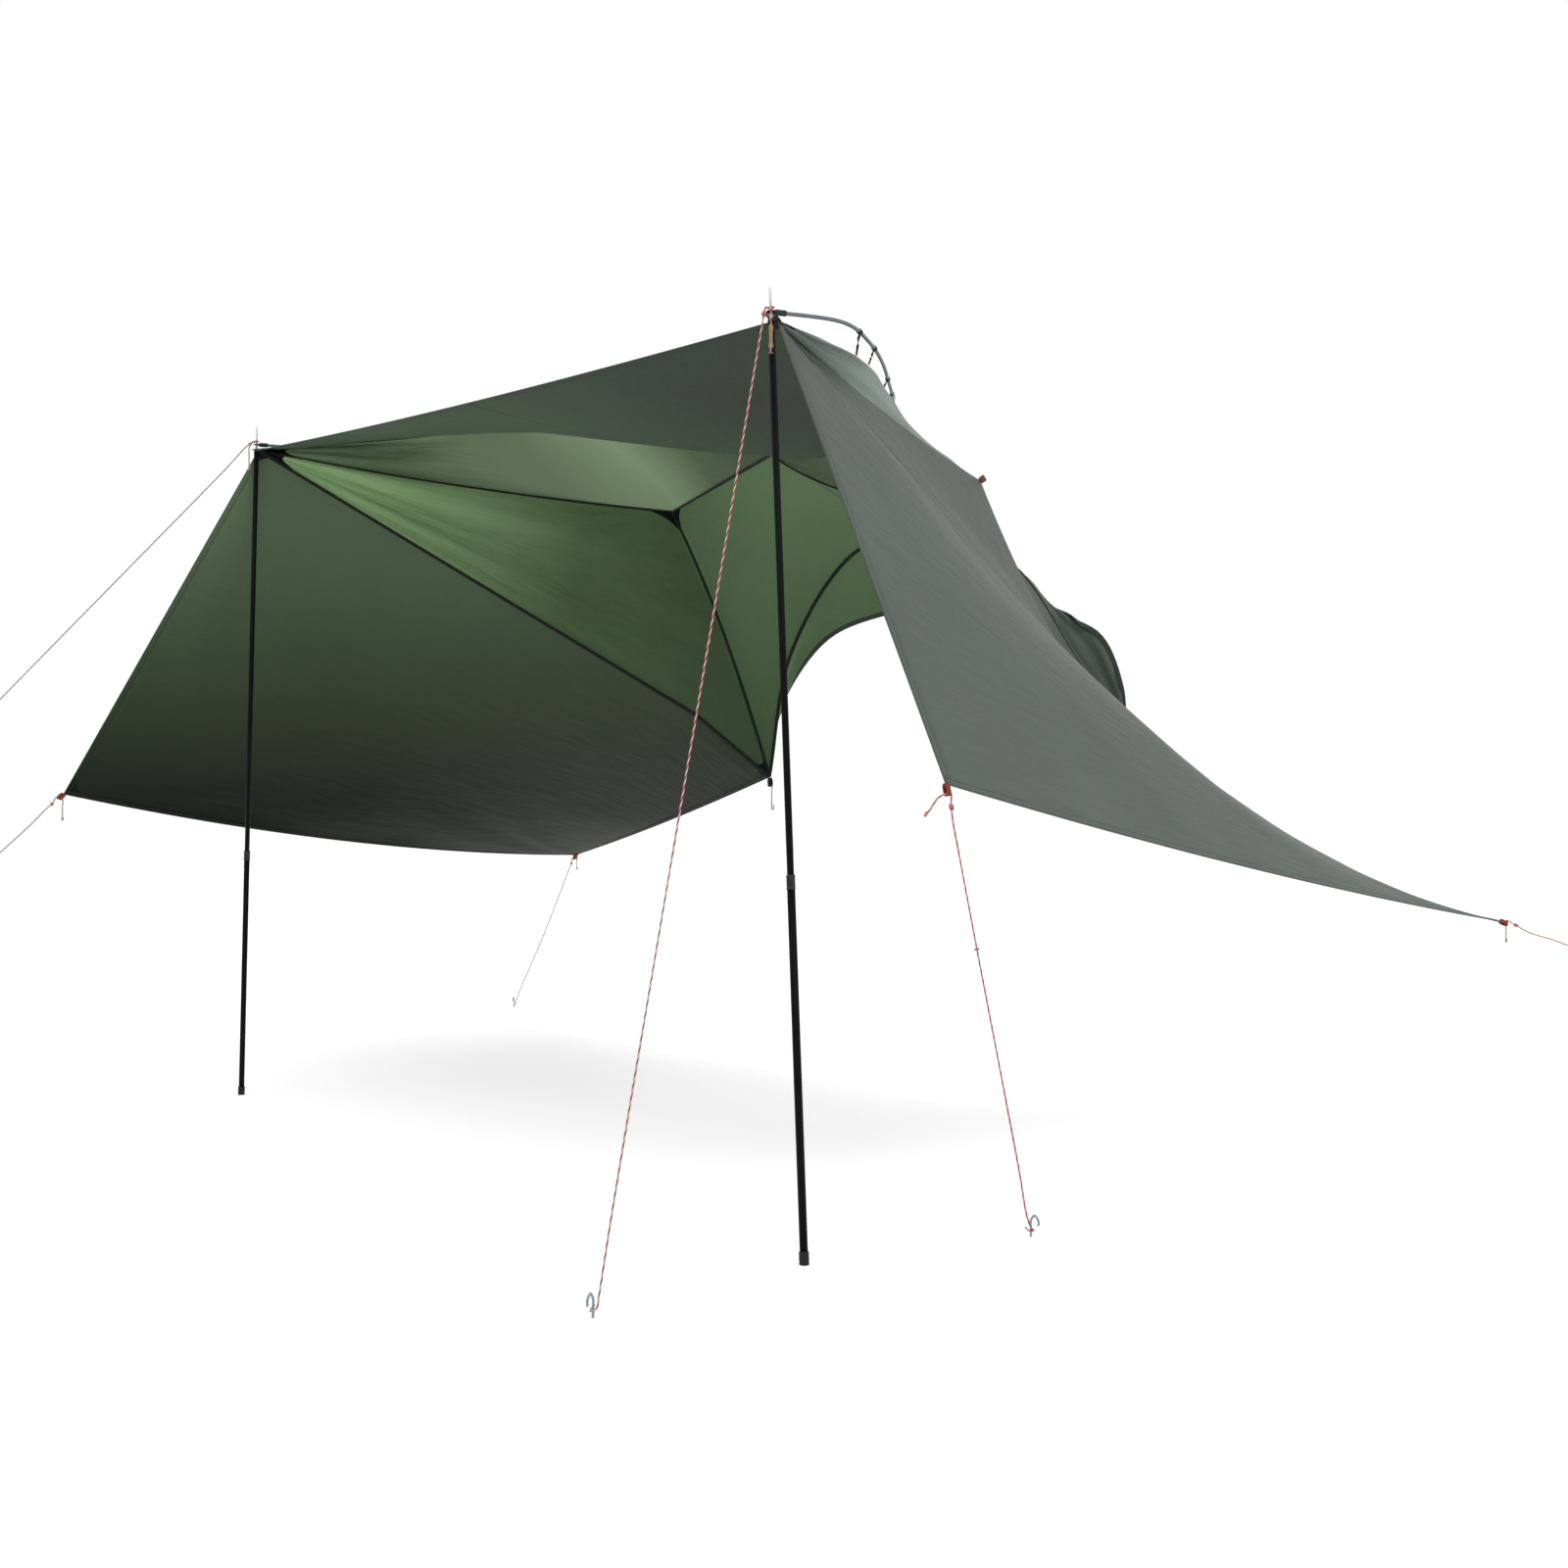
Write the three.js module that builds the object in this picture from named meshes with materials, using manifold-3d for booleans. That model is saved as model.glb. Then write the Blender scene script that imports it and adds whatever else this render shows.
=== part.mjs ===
// A car tent: one sewn canopy on two telescoping poles and a bowed rod, held out by guy ropes and pegs.
// Millimetres, +Z up. The origin is the middle of the right pole's foot, on the ground.
// The left pole stands on -X, and +Y runs from the poles to the tunnel sleeve and the wing tips.
import * as THREE from 'three';
import { mergeVertices } from 'three/addons/utils/BufferGeometryUtils.js';
import Module from 'manifold-3d';

const wasm = await Module();
wasm.setup();

// Overall sizes of the pitched tent
const poleSpan = 3640;
const wingReach = 3974;
const roofHeight = 2530;

// Canopy cloth, thick enough to be a solid, and its seams
const clothThickness = 3;
const seamGap = 1.8;
const frontHemSag = 18;
const roofSag = 45;
const roofBulge = 10;
const panelBulge = 30;
const wingBulge = 45;
const leftHemDrop = 65;
const rightHemDrop = 30;
const rightBackHemDrop = 95;
const leftSideSeamDrop = -80;
const rightSideSeamDrop = 105;
const leftBackHemDrop = 15;
const crownSeamDrop = 100;
const roofSeamDrop = 22;
const sleeveBulge = 25;

// Telescoping poles
const lowerTubeDiameter = 22;
const lowerTubeWall = 1;
const lowerTubeLength = 1000;
const upperTubeDiameter = 19;
const upperTubeWall = 1;
const tubeOverlap = 300;
const footDiameter = 27;
const footHeight = 35;
const footFloor = 6;
const collarDiameter = 25;
const collarHeight = 40;
const collarSeat = 25;
const plugFlange = 5;
const plugDepth = 30;
const pinDiameter = 8;
const pinLength = 95;
const pinDepth = 20;
const pinTipRadius = 1.5;

// Bowed rod over the roof, its ferrules, ends and clips
const rodDiameter = 11;
const rodSections = 4;
const ferruleLength = 70;
const ferruleWall = 2;
const endRingDiameter = 24;
const endRingThickness = 4;
const endRingRise = 17;
const socketLength = 34;
const socketWall = 2;
const socketSetback = 14;
const clipLength = 14;
const clipWall = 2;
const strapWidth = 12;
const strapThickness = 2;

// Webbing at the corners
const tabLength = 62;
const tabWidth = 34;
const tabThickness = 2.5;
const tabHoleDiameter = 14;
const tabHoleInset = 17;
const tabRise = 7;
const loopLength = 40;
const crownLoopLength = 24;
const loopHeight = 15;
const loopWall = 2;
const loopWidth = 20;
const loopSewn = 5;

// Guy ropes, runners, pegs and the short hook line
const ropeDiameter = 5;
const hookLineDiameter = 4;
const runnerWidth = 14;
const runnerLength = 34;
const runnerThickness = 6;
const hangingRunnerLength = 60;
const hangingRunnerDiameter = 13;
const pegDiameter = 6.6;
const pegPlay = 2.45;
const pegRise = 45;
const pegHookReach = 22;
const pegHookDrop = 14;
const pegSteps = 15;
const hookWireDiameter = 4;
const hookReach = 12;
const hookHeight = 30;

// Clearances and counts
const clearance = 0.3;
const rodClearance = 0.8;
const weldTolerance = 1e-3;
const spotKeysPerMillimetre = 10;
const roundSides = 12;
const rodSides = 8;
const rodSteps = 22;
const socketSteps = 3;
const ropeSides = 8;
const ropeStepsPerPoint = 3;
const cutOverrun = 10;
const crownSteps = 10;
const rearSteps = 6;
const roofSteps = crownSteps + rearSteps;
const wingSteps = 8;
const roofRows = 6;
const stripRows = 4;
const bendSteps = 6;

// Places on the canopy, as shares of the pole span, the wing reach and the roof height
const placeShares = {
  rightTop: [-0.058, 0.020, 0.999],
  leftTop: [-0.935, -0.007, 1.044],
  frontRight: [-0.021, 0.149, 0.499],
  frontLeft: [-1.135, -0.142, 0.494],
  wingRight: [-0.076, 1, 0.287],
  wingLeft: [-1.32, 0.604, 0.369],
  backLeft: [-0.604, 0.418, 0.522],
  backRight: [-0.129, 0.466, 0.577],
  crownLeft: [-0.693, 0.352, 0.96],
  crownRight: [-0.159, 0.313, 0.898],
  crownMid: [-0.445, 0.302, 0.992],
  kinkLeft: [-0.651, 0.356, 0.622],
  kinkRight: [-0.118, 0.4, 0.645],
  poleTopLeft: [-0.93, -0.011, 1.045],
  poleTopRight: [-0.055, 0.0126, 1],
};
const crestLeftShares = [[-0.885, 0.123, 1.075], [-0.736, 0.199, 1.079], [-0.602, 0.269, 1.059]];
const crestRightShares = [
  [-0.341, 0.289, 0.964], [-0.157, 0.2, 0.988], [-0.083, 0.117, 0.988], [-0.059, 0.066, 0.988],
];
const archShares = [
  [-0.57, 0.421, 0.72], [-0.473, 0.43, 0.87], [-0.363, 0.443, 0.885], [-0.261, 0.453, 0.822],
  [-0.185, 0.461, 0.68],
];
const sleeveShares = [
  [-0.615, 0.44, 0.632], [-0.555, 0.458, 0.743], [-0.473, 0.478, 0.779], [-0.376, 0.486, 0.787],
  [-0.28, 0.478, 0.775], [-0.213, 0.465, 0.747], [-0.165, 0.471, 0.713], [-0.137, 0.47, 0.64],
];
const rodShares = [
  [-0.052, 0.075, 1.01], [-0.08, 0.123, 1.009], [-0.154, 0.204, 1.006], [-0.283, 0.307, 1.01],
  [-0.445, 0.317, 1.051], [-0.602, 0.284, 1.085], [-0.739, 0.214, 1.103], [-0.89, 0.133, 1.095],
  [-0.933, 0.05, 1.061],
];
const clipShares = [0.08, 0.12, 0.2, 0.36, 0.55, 0.72, 0.9];
const insideShares = [-0.5, 0.25, 0.5];

// Colours, roughness and metalness as the finishes show
const finish = (color, roughness, metalness = 0) => (
  new THREE.MeshStandardMaterial({ color, roughness, metalness }));
const roofCloth = finish(0x3a4b3c, 0.85);
const sideCloth = finish(0x5f6d60, 0.85);
const wingCloth = finish(0x66716a, 0.85);
const poleMetal = finish(0x1d2127, 0.4, 0.6);
const rodMetal = finish(0x8b9298, 0.35, 0.8);
const pinMetal = finish(0xd9dee0, 0.25, 0.9);
const blackPlastic = finish(0x16181a, 0.6);
const footRubber = finish(0x141414, 0.9);
const blackWebbing = finish(0x17191a, 0.9);
const redWebbing = finish(0xb8442c, 0.85);
const redRope = finish(0xc9604c, 0.8);
const paleRope = finish(0xb9b3a6, 0.8);
const orangeRope = finish(0xb9763f, 0.8);
const tanPlastic = finish(0xa88a63, 0.5);
const pegSteel = finish(0x8d9296, 0.4, 0.85);

const tent = new THREE.Group();

function addPart(name, geometry, material, parent = tent) {
  const mesh = new THREE.Mesh(closed(geometry), material);
  mesh.name = name;
  parent.add(mesh);
  return mesh;
}

// One closed skin with shared corners and its faces turned outward
function closed(geometry) {
  const bare = geometry.index ? geometry.toNonIndexed() : geometry.clone();
  for (const key of Object.keys(bare.attributes)) {
    if (key !== 'position') bare.deleteAttribute(key);
  }
  bare.clearGroups();
  const welded = mergeVertices(bare, weldTolerance);
  const spot = welded.attributes.position;
  const corners = [];
  for (let i = 0; i < welded.index.count; i += 3) {
    const [a, b, c] = [welded.index.getX(i), welded.index.getX(i + 1), welded.index.getX(i + 2)];
    if (a !== b && b !== c && c !== a) corners.push([a, b, c]);
  }
  let volume = 0;
  const point = (i) => new THREE.Vector3().fromBufferAttribute(spot, i);
  for (const [a, b, c] of corners) volume += point(a).dot(point(b).cross(point(c)));
  const turned = volume < 0 ? corners.map(([a, b, c]) => [a, c, b]) : corners;
  welded.setIndex(turned.flat());
  welded.computeVertexNormals();
  return welded;
}

function asSolid(geometry) {
  const skin = closed(geometry);
  const vertProperties = new Float32Array(skin.attributes.position.array);
  const triVerts = new Uint32Array(skin.index.array);
  return new wasm.Manifold(new wasm.Mesh({ numProp: 3, vertProperties, triVerts }));
}

function fromSolid(solid) {
  const mesh = solid.getMesh();
  const geometry = new THREE.BufferGeometry();
  geometry.setAttribute('position', new THREE.BufferAttribute(new Float32Array(mesh.vertProperties), 3));
  geometry.setIndex(Array.from(mesh.triVerts));
  return geometry;
}

const place = ([x, y, z]) => new THREE.Vector3(x * poleSpan, y * wingReach, z * roofHeight);
const at = Object.fromEntries(Object.entries(placeShares).map(([name, shares]) => [name, place(shares)]));
const inside = place(insideShares);
const up = new THREE.Vector3(0, 0, 1);

// A turned piece about its own +Z, from pairs of radius and height
function turned(profile, sides = roundSides) {
  const lathe = new THREE.LatheGeometry(profile.map(([r, z]) => new THREE.Vector2(r, z)), sides);
  return lathe.rotateX(Math.PI / 2);
}

const ringProfile = (inner, outer, low, high) => (
  [[inner, low], [outer, low], [outer, high], [inner, high], [inner, low]]);
const rodProfile = (radius, low, high) => [[0, low], [radius, low], [radius, high], [0, high]];

// Lays a piece's own +X along one direction and its +Z as near as it goes to another
function framed(geometry, origin, along, normal) {
  const x = along.clone().normalize();
  const y = normal.clone().cross(x).normalize();
  const z = x.clone().cross(y);
  return geometry.clone().applyMatrix4(new THREE.Matrix4().makeBasis(x, y, z).setPosition(origin));
}

function circle(radius, sides) {
  const shape = new THREE.Shape();
  for (let i = 0; i < sides; i += 1) {
    const turn = (i / sides) * 2 * Math.PI;
    if (i === 0) shape.moveTo(radius, 0);
    else shape.lineTo(radius * Math.cos(turn), radius * Math.sin(turn));
  }
  shape.closePath();
  return shape;
}

function tubeAlong(curve, radius, sides, steps, bore = 0) {
  const shape = circle(radius, sides);
  if (bore > 0) shape.holes.push(circle(bore, sides));
  return new THREE.ExtrudeGeometry(shape, { steps, bevelEnabled: false, extrudePath: curve });
}

const smooth = (points) => new THREE.CatmullRomCurve3(points, false, 'centripetal');

// Edges of the canopy's panels, each a list of points
function samples(curve, count) {
  return Array.from({ length: count + 1 }, (_, i) => curve.getPointAt(i / count));
}

function dropped(from, to, count, drop) {
  return Array.from({ length: count + 1 }, (_, i) => {
    const t = i / count;
    const point = from.clone().lerp(to, t);
    point.z -= 4 * t * (1 - t) * drop;
    return point;
  });
}

const joined = (first, second) => [...first, ...second.slice(1)];

const kinkShare = 0.8;
const kinkStep = Math.round(crownSteps * kinkShare);
const kinked = (from, kink, to) => (
  joined(dropped(from, kink, kinkStep, 0), dropped(kink, to, crownSteps - kinkStep, 0)));
const edges = {
  frontHem: dropped(at.leftTop, at.rightTop, 2 * roofSteps, frontHemSag),
  crestLeft: samples(smooth([at.leftTop, ...crestLeftShares.map(place), at.crownMid]), roofSteps),
  crestRight: samples(smooth([at.crownMid, ...crestRightShares.map(place), at.rightTop]), roofSteps),
  roofSeamLeft: dropped(at.leftTop, at.crownLeft, crownSteps, roofSeamDrop),
  roofSeamRight: dropped(at.crownRight, at.rightTop, crownSteps, roofSeamDrop),
  rearSeamLeft: dropped(at.crownLeft, at.crownMid, rearSteps, 0),
  rearSeamRight: dropped(at.crownMid, at.crownRight, rearSteps, crownSeamDrop),
  diagonalLeft: kinked(at.leftTop, at.kinkLeft, at.backLeft),
  diagonalRight: kinked(at.rightTop, at.kinkRight, at.backRight),
  sideSeamLeft: dropped(at.crownLeft, at.backLeft, wingSteps, leftSideSeamDrop),
  sideSeamRight: dropped(at.crownRight, at.backRight, wingSteps, rightSideSeamDrop),
  doorLeft: dropped(at.leftTop, at.frontLeft, wingSteps, 0),
  doorRight: dropped(at.rightTop, at.frontRight, wingSteps, 0),
  hemLeft: dropped(at.frontLeft, at.wingLeft, crownSteps, leftHemDrop),
  hemRight: dropped(at.frontRight, at.wingRight, crownSteps, rightHemDrop),
  backHemLeft: dropped(at.backLeft, at.wingLeft, wingSteps, leftBackHemDrop),
  backHemRight: dropped(at.backRight, at.wingRight, wingSteps, rightBackHemDrop),
  arch: samples(smooth([at.backLeft, ...archShares.map(place), at.backRight]), 2 * rearSteps),
  sleeveHem: samples(smooth([at.backLeft, ...sleeveShares.map(place), at.backRight]), 2 * rearSteps),
};
const roofSeamRightBack = [...edges.roofSeamRight].reverse();

// A lens between two edges that meet at both ends, with its two tips cut off
function lens(lower, upper, rows, sag) {
  const columns = lower.length - 1;
  const grid = lower.map((low, i) => {
    const swell = Math.sin((Math.PI * i) / columns) ** 2;
    return Array.from({ length: rows + 1 }, (_, j) => {
      const point = low.clone().lerp(upper[i], j / rows);
      point.z -= sag * swell * Math.sin((Math.PI * j) / rows);
      return point;
    });
  });
  return { grid, tips: true };
}

// A panel filled in from its four edges; start may be a single point
function filled(near, far, start, finishEdge, bulge, outward) {
  const columns = near.length - 1;
  const rows = finishEdge.length - 1;
  const grid = near.map((low, i) => {
    const u = i / columns;
    return finishEdge.map((_, j) => {
      const v = j / rows;
      const first = start[Math.min(j, start.length - 1)];
      const point = low.clone().multiplyScalar(1 - v).addScaledVector(far[i], v);
      point.addScaledVector(first, 1 - u).addScaledVector(finishEdge[j], u);
      point.addScaledVector(near[0], -(1 - u) * (1 - v)).addScaledVector(near[columns], -u * (1 - v));
      point.addScaledVector(far[0], -(1 - u) * v).addScaledVector(far[columns], -u * v);
      const swell = Math.sin(Math.PI * u) ** 2 * Math.sin(Math.PI * v) ** 2;
      return point.addScaledVector(outward, bulge * swell);
    });
  });
  return { grid, tips: false, point: start.length === 1 };
}

const outwardOf = (a, b, c) => {
  const normal = b.clone().sub(a).cross(c.clone().sub(a)).normalize();
  return normal.dot(a.clone().sub(inside)) < 0 ? normal.negate() : normal;
};
const panels = {
  roof_centre_panel: lens(edges.frontHem, joined(edges.crestLeft, edges.crestRight), roofRows, roofSag),
  roof_left_panel: lens(
    joined(edges.roofSeamLeft, edges.rearSeamLeft), edges.crestLeft, stripRows, -roofBulge),
  roof_right_panel: lens(
    joined(edges.rearSeamRight, edges.roofSeamRight), edges.crestRight, stripRows, -roofBulge),
  side_left_panel: filled(edges.roofSeamLeft, edges.diagonalLeft, [at.leftTop], edges.sideSeamLeft,
    panelBulge, outwardOf(at.leftTop, at.crownLeft, at.backLeft)),
  side_right_panel: filled(roofSeamRightBack, edges.diagonalRight, [at.rightTop], edges.sideSeamRight,
    panelBulge, outwardOf(at.rightTop, at.crownRight, at.backRight)),
  wing_left: filled(edges.diagonalLeft, edges.hemLeft, edges.doorLeft, edges.backHemLeft, wingBulge,
    outwardOf(at.leftTop, at.frontLeft, at.backLeft)),
  wing_right: filled(edges.diagonalRight, edges.hemRight, edges.doorRight, edges.backHemRight, wingBulge,
    outwardOf(at.rightTop, at.frontRight, at.backRight)),
  rear_panel: filled(joined(edges.rearSeamLeft, edges.rearSeamRight), edges.arch, edges.sideSeamLeft,
    edges.sideSeamRight, 0, up),
  tunnel_sleeve: lens(edges.arch, edges.sleeveHem, stripRows, -sleeveBulge),
};

const spotKey = (point) => point.toArray().map((value) => Math.round(value * spotKeysPerMillimetre)).join();
const spotNormals = new Map();

function eachCell(grid, visit) {
  for (let i = 0; i + 1 < grid.length; i += 1) {
    for (let j = 0; j + 1 < grid[i].length; j += 1) {
      visit(grid[i][j], grid[i + 1][j], grid[i + 1][j + 1], grid[i][j + 1]);
    }
  }
}

// Seams share one direction of thickness, so that neighbouring panels meet face to face
for (const panel of Object.values(panels)) {
  const middle = panel.grid[Math.floor(panel.grid.length / 2)];
  const centre = middle[Math.floor(middle.length / 2)];
  const facing = new THREE.Vector3();
  eachCell(panel.grid, (a, b, c, d) => facing.add(c.clone().sub(a).cross(d.clone().sub(b))));
  panel.turn = facing.dot(centre.clone().sub(inside)) < 0 ? -1 : 1;
  eachCell(panel.grid, (a, b, c, d) => {
    const normal = c.clone().sub(a).cross(d.clone().sub(b)).multiplyScalar(panel.turn);
    if (normal.length() > 0) normal.normalize();
    for (const corner of [a, b, c, d]) {
      const key = spotKey(corner);
      if (!spotNormals.has(key)) spotNormals.set(key, new THREE.Vector3());
      spotNormals.get(key).add(normal);
    }
  });
}

const tipShare = 0.35;
const lerpRow = (row, next, share) => row.map((spot, j) => ({
  point: spot.point.clone().lerp(next[j].point, share),
  normal: spot.normal.clone().lerp(next[j].normal, share),
}));

// Draws the rim of a panel in by half of the seam's gap
function drawnIn(rows, gap) {
  const last = rows.length - 1;
  const side = rows[0].length - 1;
  const inward = (from, to) => to.point.clone().sub(from.point).normalize().multiplyScalar(gap / 2);
  const shifts = rows.map((row, i) => row.map((spot, j) => {
    const shift = new THREE.Vector3();
    if (i === 0) shift.add(inward(spot, rows[1][j]));
    if (i === last) shift.add(inward(spot, rows[last - 1][j]));
    if (j === 0) shift.add(inward(spot, row[1]));
    if (j === side) shift.add(inward(spot, row[side - 1]));
    return shift;
  }));
  return rows.map((row, i) => row.map((spot, j) => (
    { point: spot.point.clone().add(shifts[i][j]), normal: spot.normal })));
}

function cloth({ grid, tips, point }, thickness = clothThickness, gap = seamGap) {
  const spots = grid.map((row) => row.map((corner) => ({
    point: corner,
    normal: spotNormals.get(spotKey(corner)).clone().normalize(),
  })));
  if (tips || point) spots[0] = lerpRow(spots[0], spots[1], tipShare);
  if (tips) spots[spots.length - 1] = lerpRow(spots[spots.length - 1], spots[spots.length - 2], tipShare);
  const rows = drawnIn(spots, gap);
  const half = thickness / 2;
  const moved = (spot, by) => spot.point.clone().addScaledVector(spot.normal, by);
  const offset = (by) => rows.map((row) => row.map((spot) => moved(spot, by)));
  const outer = offset(half);
  const inner = offset(-half);
  const corners = [];
  const quad = (a, b, c, d) => corners.push(a, b, c, a, c, d);
  eachCell(outer, quad);
  // Both faces are split along the same diagonals, so a line through one never grazes an edge of the other
  eachCell(inner, (a, b, c, d) => quad(a, d, c, b));
  const last = rows.length - 1;
  const side = rows[0].length - 1;
  // A twisted wall is split the same way on both sides of its seam
  const wall = (a, b, c, d) => (a.x > b.x ? quad(a, b, c, d) : quad(b, c, d, a));
  for (let i = 0; i < last; i += 1) {
    wall(outer[i + 1][0], outer[i][0], inner[i][0], inner[i + 1][0]);
    wall(outer[i][side], outer[i + 1][side], inner[i + 1][side], inner[i][side]);
  }
  for (let j = 0; j < side; j += 1) {
    wall(outer[0][j], outer[0][j + 1], inner[0][j + 1], inner[0][j]);
    wall(outer[last][j + 1], outer[last][j], inner[last][j], inner[last][j + 1]);
  }
  const numbers = corners.flatMap((corner) => corner.toArray());
  const geometry = new THREE.BufferGeometry();
  geometry.setAttribute('position', new THREE.Float32BufferAttribute(numbers, 3));
  return geometry;
}

const clothOf = { roof_centre_panel: roofCloth, wing_left: wingCloth, wing_right: wingCloth };
for (const [name, panel] of Object.entries(panels)) addPart(name, cloth(panel), clothOf[name] ?? sideCloth);

const cutters = Object.values(panels).map((panel) => (
  asSolid(cloth(panel, clothThickness + 4 * clearance, seamGap - 2 * clearance))));

// What is sewn or clipped to the cloth ends just clear of it
function clearOfCloth(solid) {
  const bodies = cutters.reduce((rest, cutter) => rest.subtract(cutter), solid).decompose();
  return fromSolid(bodies.reduce((best, next) => (next.volume() > best.volume() ? next : best)));
}

// A telescoping pole, built upward along its own +Z and leaned from its foot to its top
function pole(side, foot, top) {
  const length = top.distanceTo(foot) - tabRise;
  const lean = new THREE.Quaternion().setFromUnitVectors(up, top.clone().sub(foot).normalize());
  const stand = new THREE.Group();
  stand.position.copy(foot);
  stand.quaternion.copy(lean);
  tent.add(stand);
  const lowerRadius = lowerTubeDiameter / 2;
  const upperRadius = upperTubeDiameter / 2;
  const boreRadius = upperRadius - upperTubeWall;
  const tubeLow = footFloor + clearance;
  const tubeTop = tubeLow + lowerTubeLength;
  const flangeTop = length;
  const upperTop = flangeTop - plugFlange - clearance;
  const upperLow = tubeTop - tubeOverlap;
  const lowerTube = ringProfile(lowerRadius - lowerTubeWall, lowerRadius, tubeLow, tubeTop);
  addPart(`${side}_lower_tube`, turned(lowerTube), poleMetal, stand);
  const upperTube = ringProfile(boreRadius, upperRadius, upperLow, upperTop);
  addPart(`${side}_upper_tube`, turned(upperTube), poleMetal, stand);
  const collarLow = tubeTop - collarSeat;
  const grip = upperRadius + clearance;
  addPart(`${side}_lock_collar`, turned([
    [lowerRadius + clearance, collarLow], [collarDiameter / 2, collarLow],
    [collarDiameter / 2, collarLow + collarHeight], [grip, collarLow + collarHeight],
    [grip, tubeTop + clearance], [lowerRadius + clearance, tubeTop + clearance],
    [lowerRadius + clearance, collarLow],
  ]), blackPlastic, stand);
  const pinRadius = pinDiameter / 2;
  const socketFloor = flangeTop - pinDepth - clearance;
  addPart(`${side}_top_plug`, turned([
    [0, upperTop - plugDepth], [boreRadius - clearance, upperTop - plugDepth],
    [boreRadius - clearance, upperTop + clearance], [upperRadius, upperTop + clearance],
    [upperRadius, flangeTop], [pinRadius + clearance, flangeTop],
    [pinRadius + clearance, socketFloor], [0, socketFloor],
  ]), blackPlastic, stand);
  addPart(`${side}_pin`, turned([
    [0, flangeTop - pinDepth], [pinRadius, flangeTop - pinDepth],
    [pinRadius, flangeTop + pinLength - pinDiameter], [pinTipRadius, flangeTop + pinLength],
    [0, flangeTop + pinLength],
  ]), pinMetal, stand);
  const cup = turned([
    [0, -cutOverrun], [footDiameter / 2, -cutOverrun], [footDiameter / 2, footHeight],
    [lowerRadius + clearance, footHeight], [lowerRadius + clearance, footFloor], [0, footFloor],
  ]).applyQuaternion(lean);
  const below = new THREE.BoxGeometry(2 * footDiameter, 2 * footDiameter, 2 * cutOverrun);
  below.translate(0, 0, -cutOverrun);
  const footPart = addPart(`${side}_foot`, fromSolid(asSolid(cup).subtract(asSolid(below))), footRubber);
  footPart.position.copy(foot);
  return (height) => new THREE.Vector3(0, 0, length + height).applyQuaternion(lean).add(foot);
}

const rightFoot = new THREE.Vector3();
const leftFoot = new THREE.Vector3(-poleSpan, 0, 0);
const onRightPin = pole('right', rightFoot, at.poleTopRight);
const onLeftPin = pole('left', leftFoot, at.poleTopLeft);

// Webbing tabs that lie on the roof's two tips and hang on the pins
function cornerTab(name, tipPoints, onPin) {
  const [tip, hemPoint, crestPoint] = tipPoints;
  let normal = hemPoint.clone().sub(tip).cross(crestPoint.clone().sub(tip)).normalize();
  if (normal.z < 0) normal = normal.negate();
  const lift = clothThickness / 2 + clearance + tabThickness / 2;
  const pin = onPin(0);
  const level = tip.clone().addScaledVector(normal, lift);
  const onPlane = pin.clone().addScaledVector(up, level.clone().sub(pin).dot(normal) / normal.z);
  const ahead = hemPoint.clone().add(crestPoint).multiplyScalar(0.5).addScaledVector(normal, lift);
  const along = ahead.sub(onPlane).normalize();
  const outline = new THREE.Shape();
  outline.moveTo(-tabHoleInset, -tabWidth / 2);
  outline.lineTo(tabLength - tabHoleInset, -tabWidth / 2);
  outline.lineTo(tabLength - tabHoleInset, tabWidth / 2);
  outline.lineTo(-tabHoleInset, tabWidth / 2);
  outline.closePath();
  outline.holes.push(circle(tabHoleDiameter / 2, roundSides));
  const plate = new THREE.ExtrudeGeometry(outline, { depth: tabThickness, bevelEnabled: false });
  plate.translate(0, 0, -tabThickness / 2);
  addPart(name, framed(plate, onPlane, along, normal), blackWebbing);
}

const hemEnd = edges.frontHem.length - 1;
const rightTip = [at.rightTop, edges.frontHem[hemEnd - 1], edges.crestRight[roofSteps - 1]];
const leftTip = [at.leftTop, edges.frontHem[1], edges.crestLeft[1]];
cornerTab('right_corner_tab', rightTip, onRightPin);
cornerTab('left_corner_tab', leftTip, onLeftPin);

// The bowed rod: four sections, butted in ferrules, with its ends in sockets on the pins
const rodEndRight = onRightPin(endRingRise + endRingThickness / 2 + tabThickness);
const rodEndLeft = onLeftPin(endRingRise + endRingThickness / 2 + tabThickness);
const rodCurve = smooth([rodEndRight, ...rodShares.map(place), rodEndLeft]);
const rodLength = rodCurve.getLength();

class CurveSpan extends THREE.Curve {
  constructor(curve, from, to) {
    super();
    Object.assign(this, { curve, from, to });
  }

  getPoint(t, target = new THREE.Vector3()) {
    return target.copy(this.curve.getPointAt(this.from + (this.to - this.from) * t));
  }
}

const rodRadius = rodDiameter / 2;
const rodShare = (length) => length / rodLength;
const rodStart = rodShare(socketSetback + clearance);
for (let i = 0; i < rodSections; i += 1) {
  const from = i === 0 ? rodStart : i / rodSections + rodShare(clearance / 2);
  const to = i === rodSections - 1 ? 1 - rodStart : (i + 1) / rodSections - rodShare(clearance / 2);
  const span = new CurveSpan(rodCurve, from, to);
  addPart(`rod_section_${i + 1}`, tubeAlong(span, rodRadius, rodSides, rodSteps), rodMetal);
}
for (let i = 1; i < rodSections; i += 1) {
  const half = rodShare(ferruleLength / 2);
  const span = new CurveSpan(rodCurve, i / rodSections - half, i / rodSections + half);
  const bore = rodRadius + rodClearance;
  addPart(`rod_ferrule_${i}`, tubeAlong(span, bore + ferruleWall, roundSides, socketSteps, bore), rodMetal);
}

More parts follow.
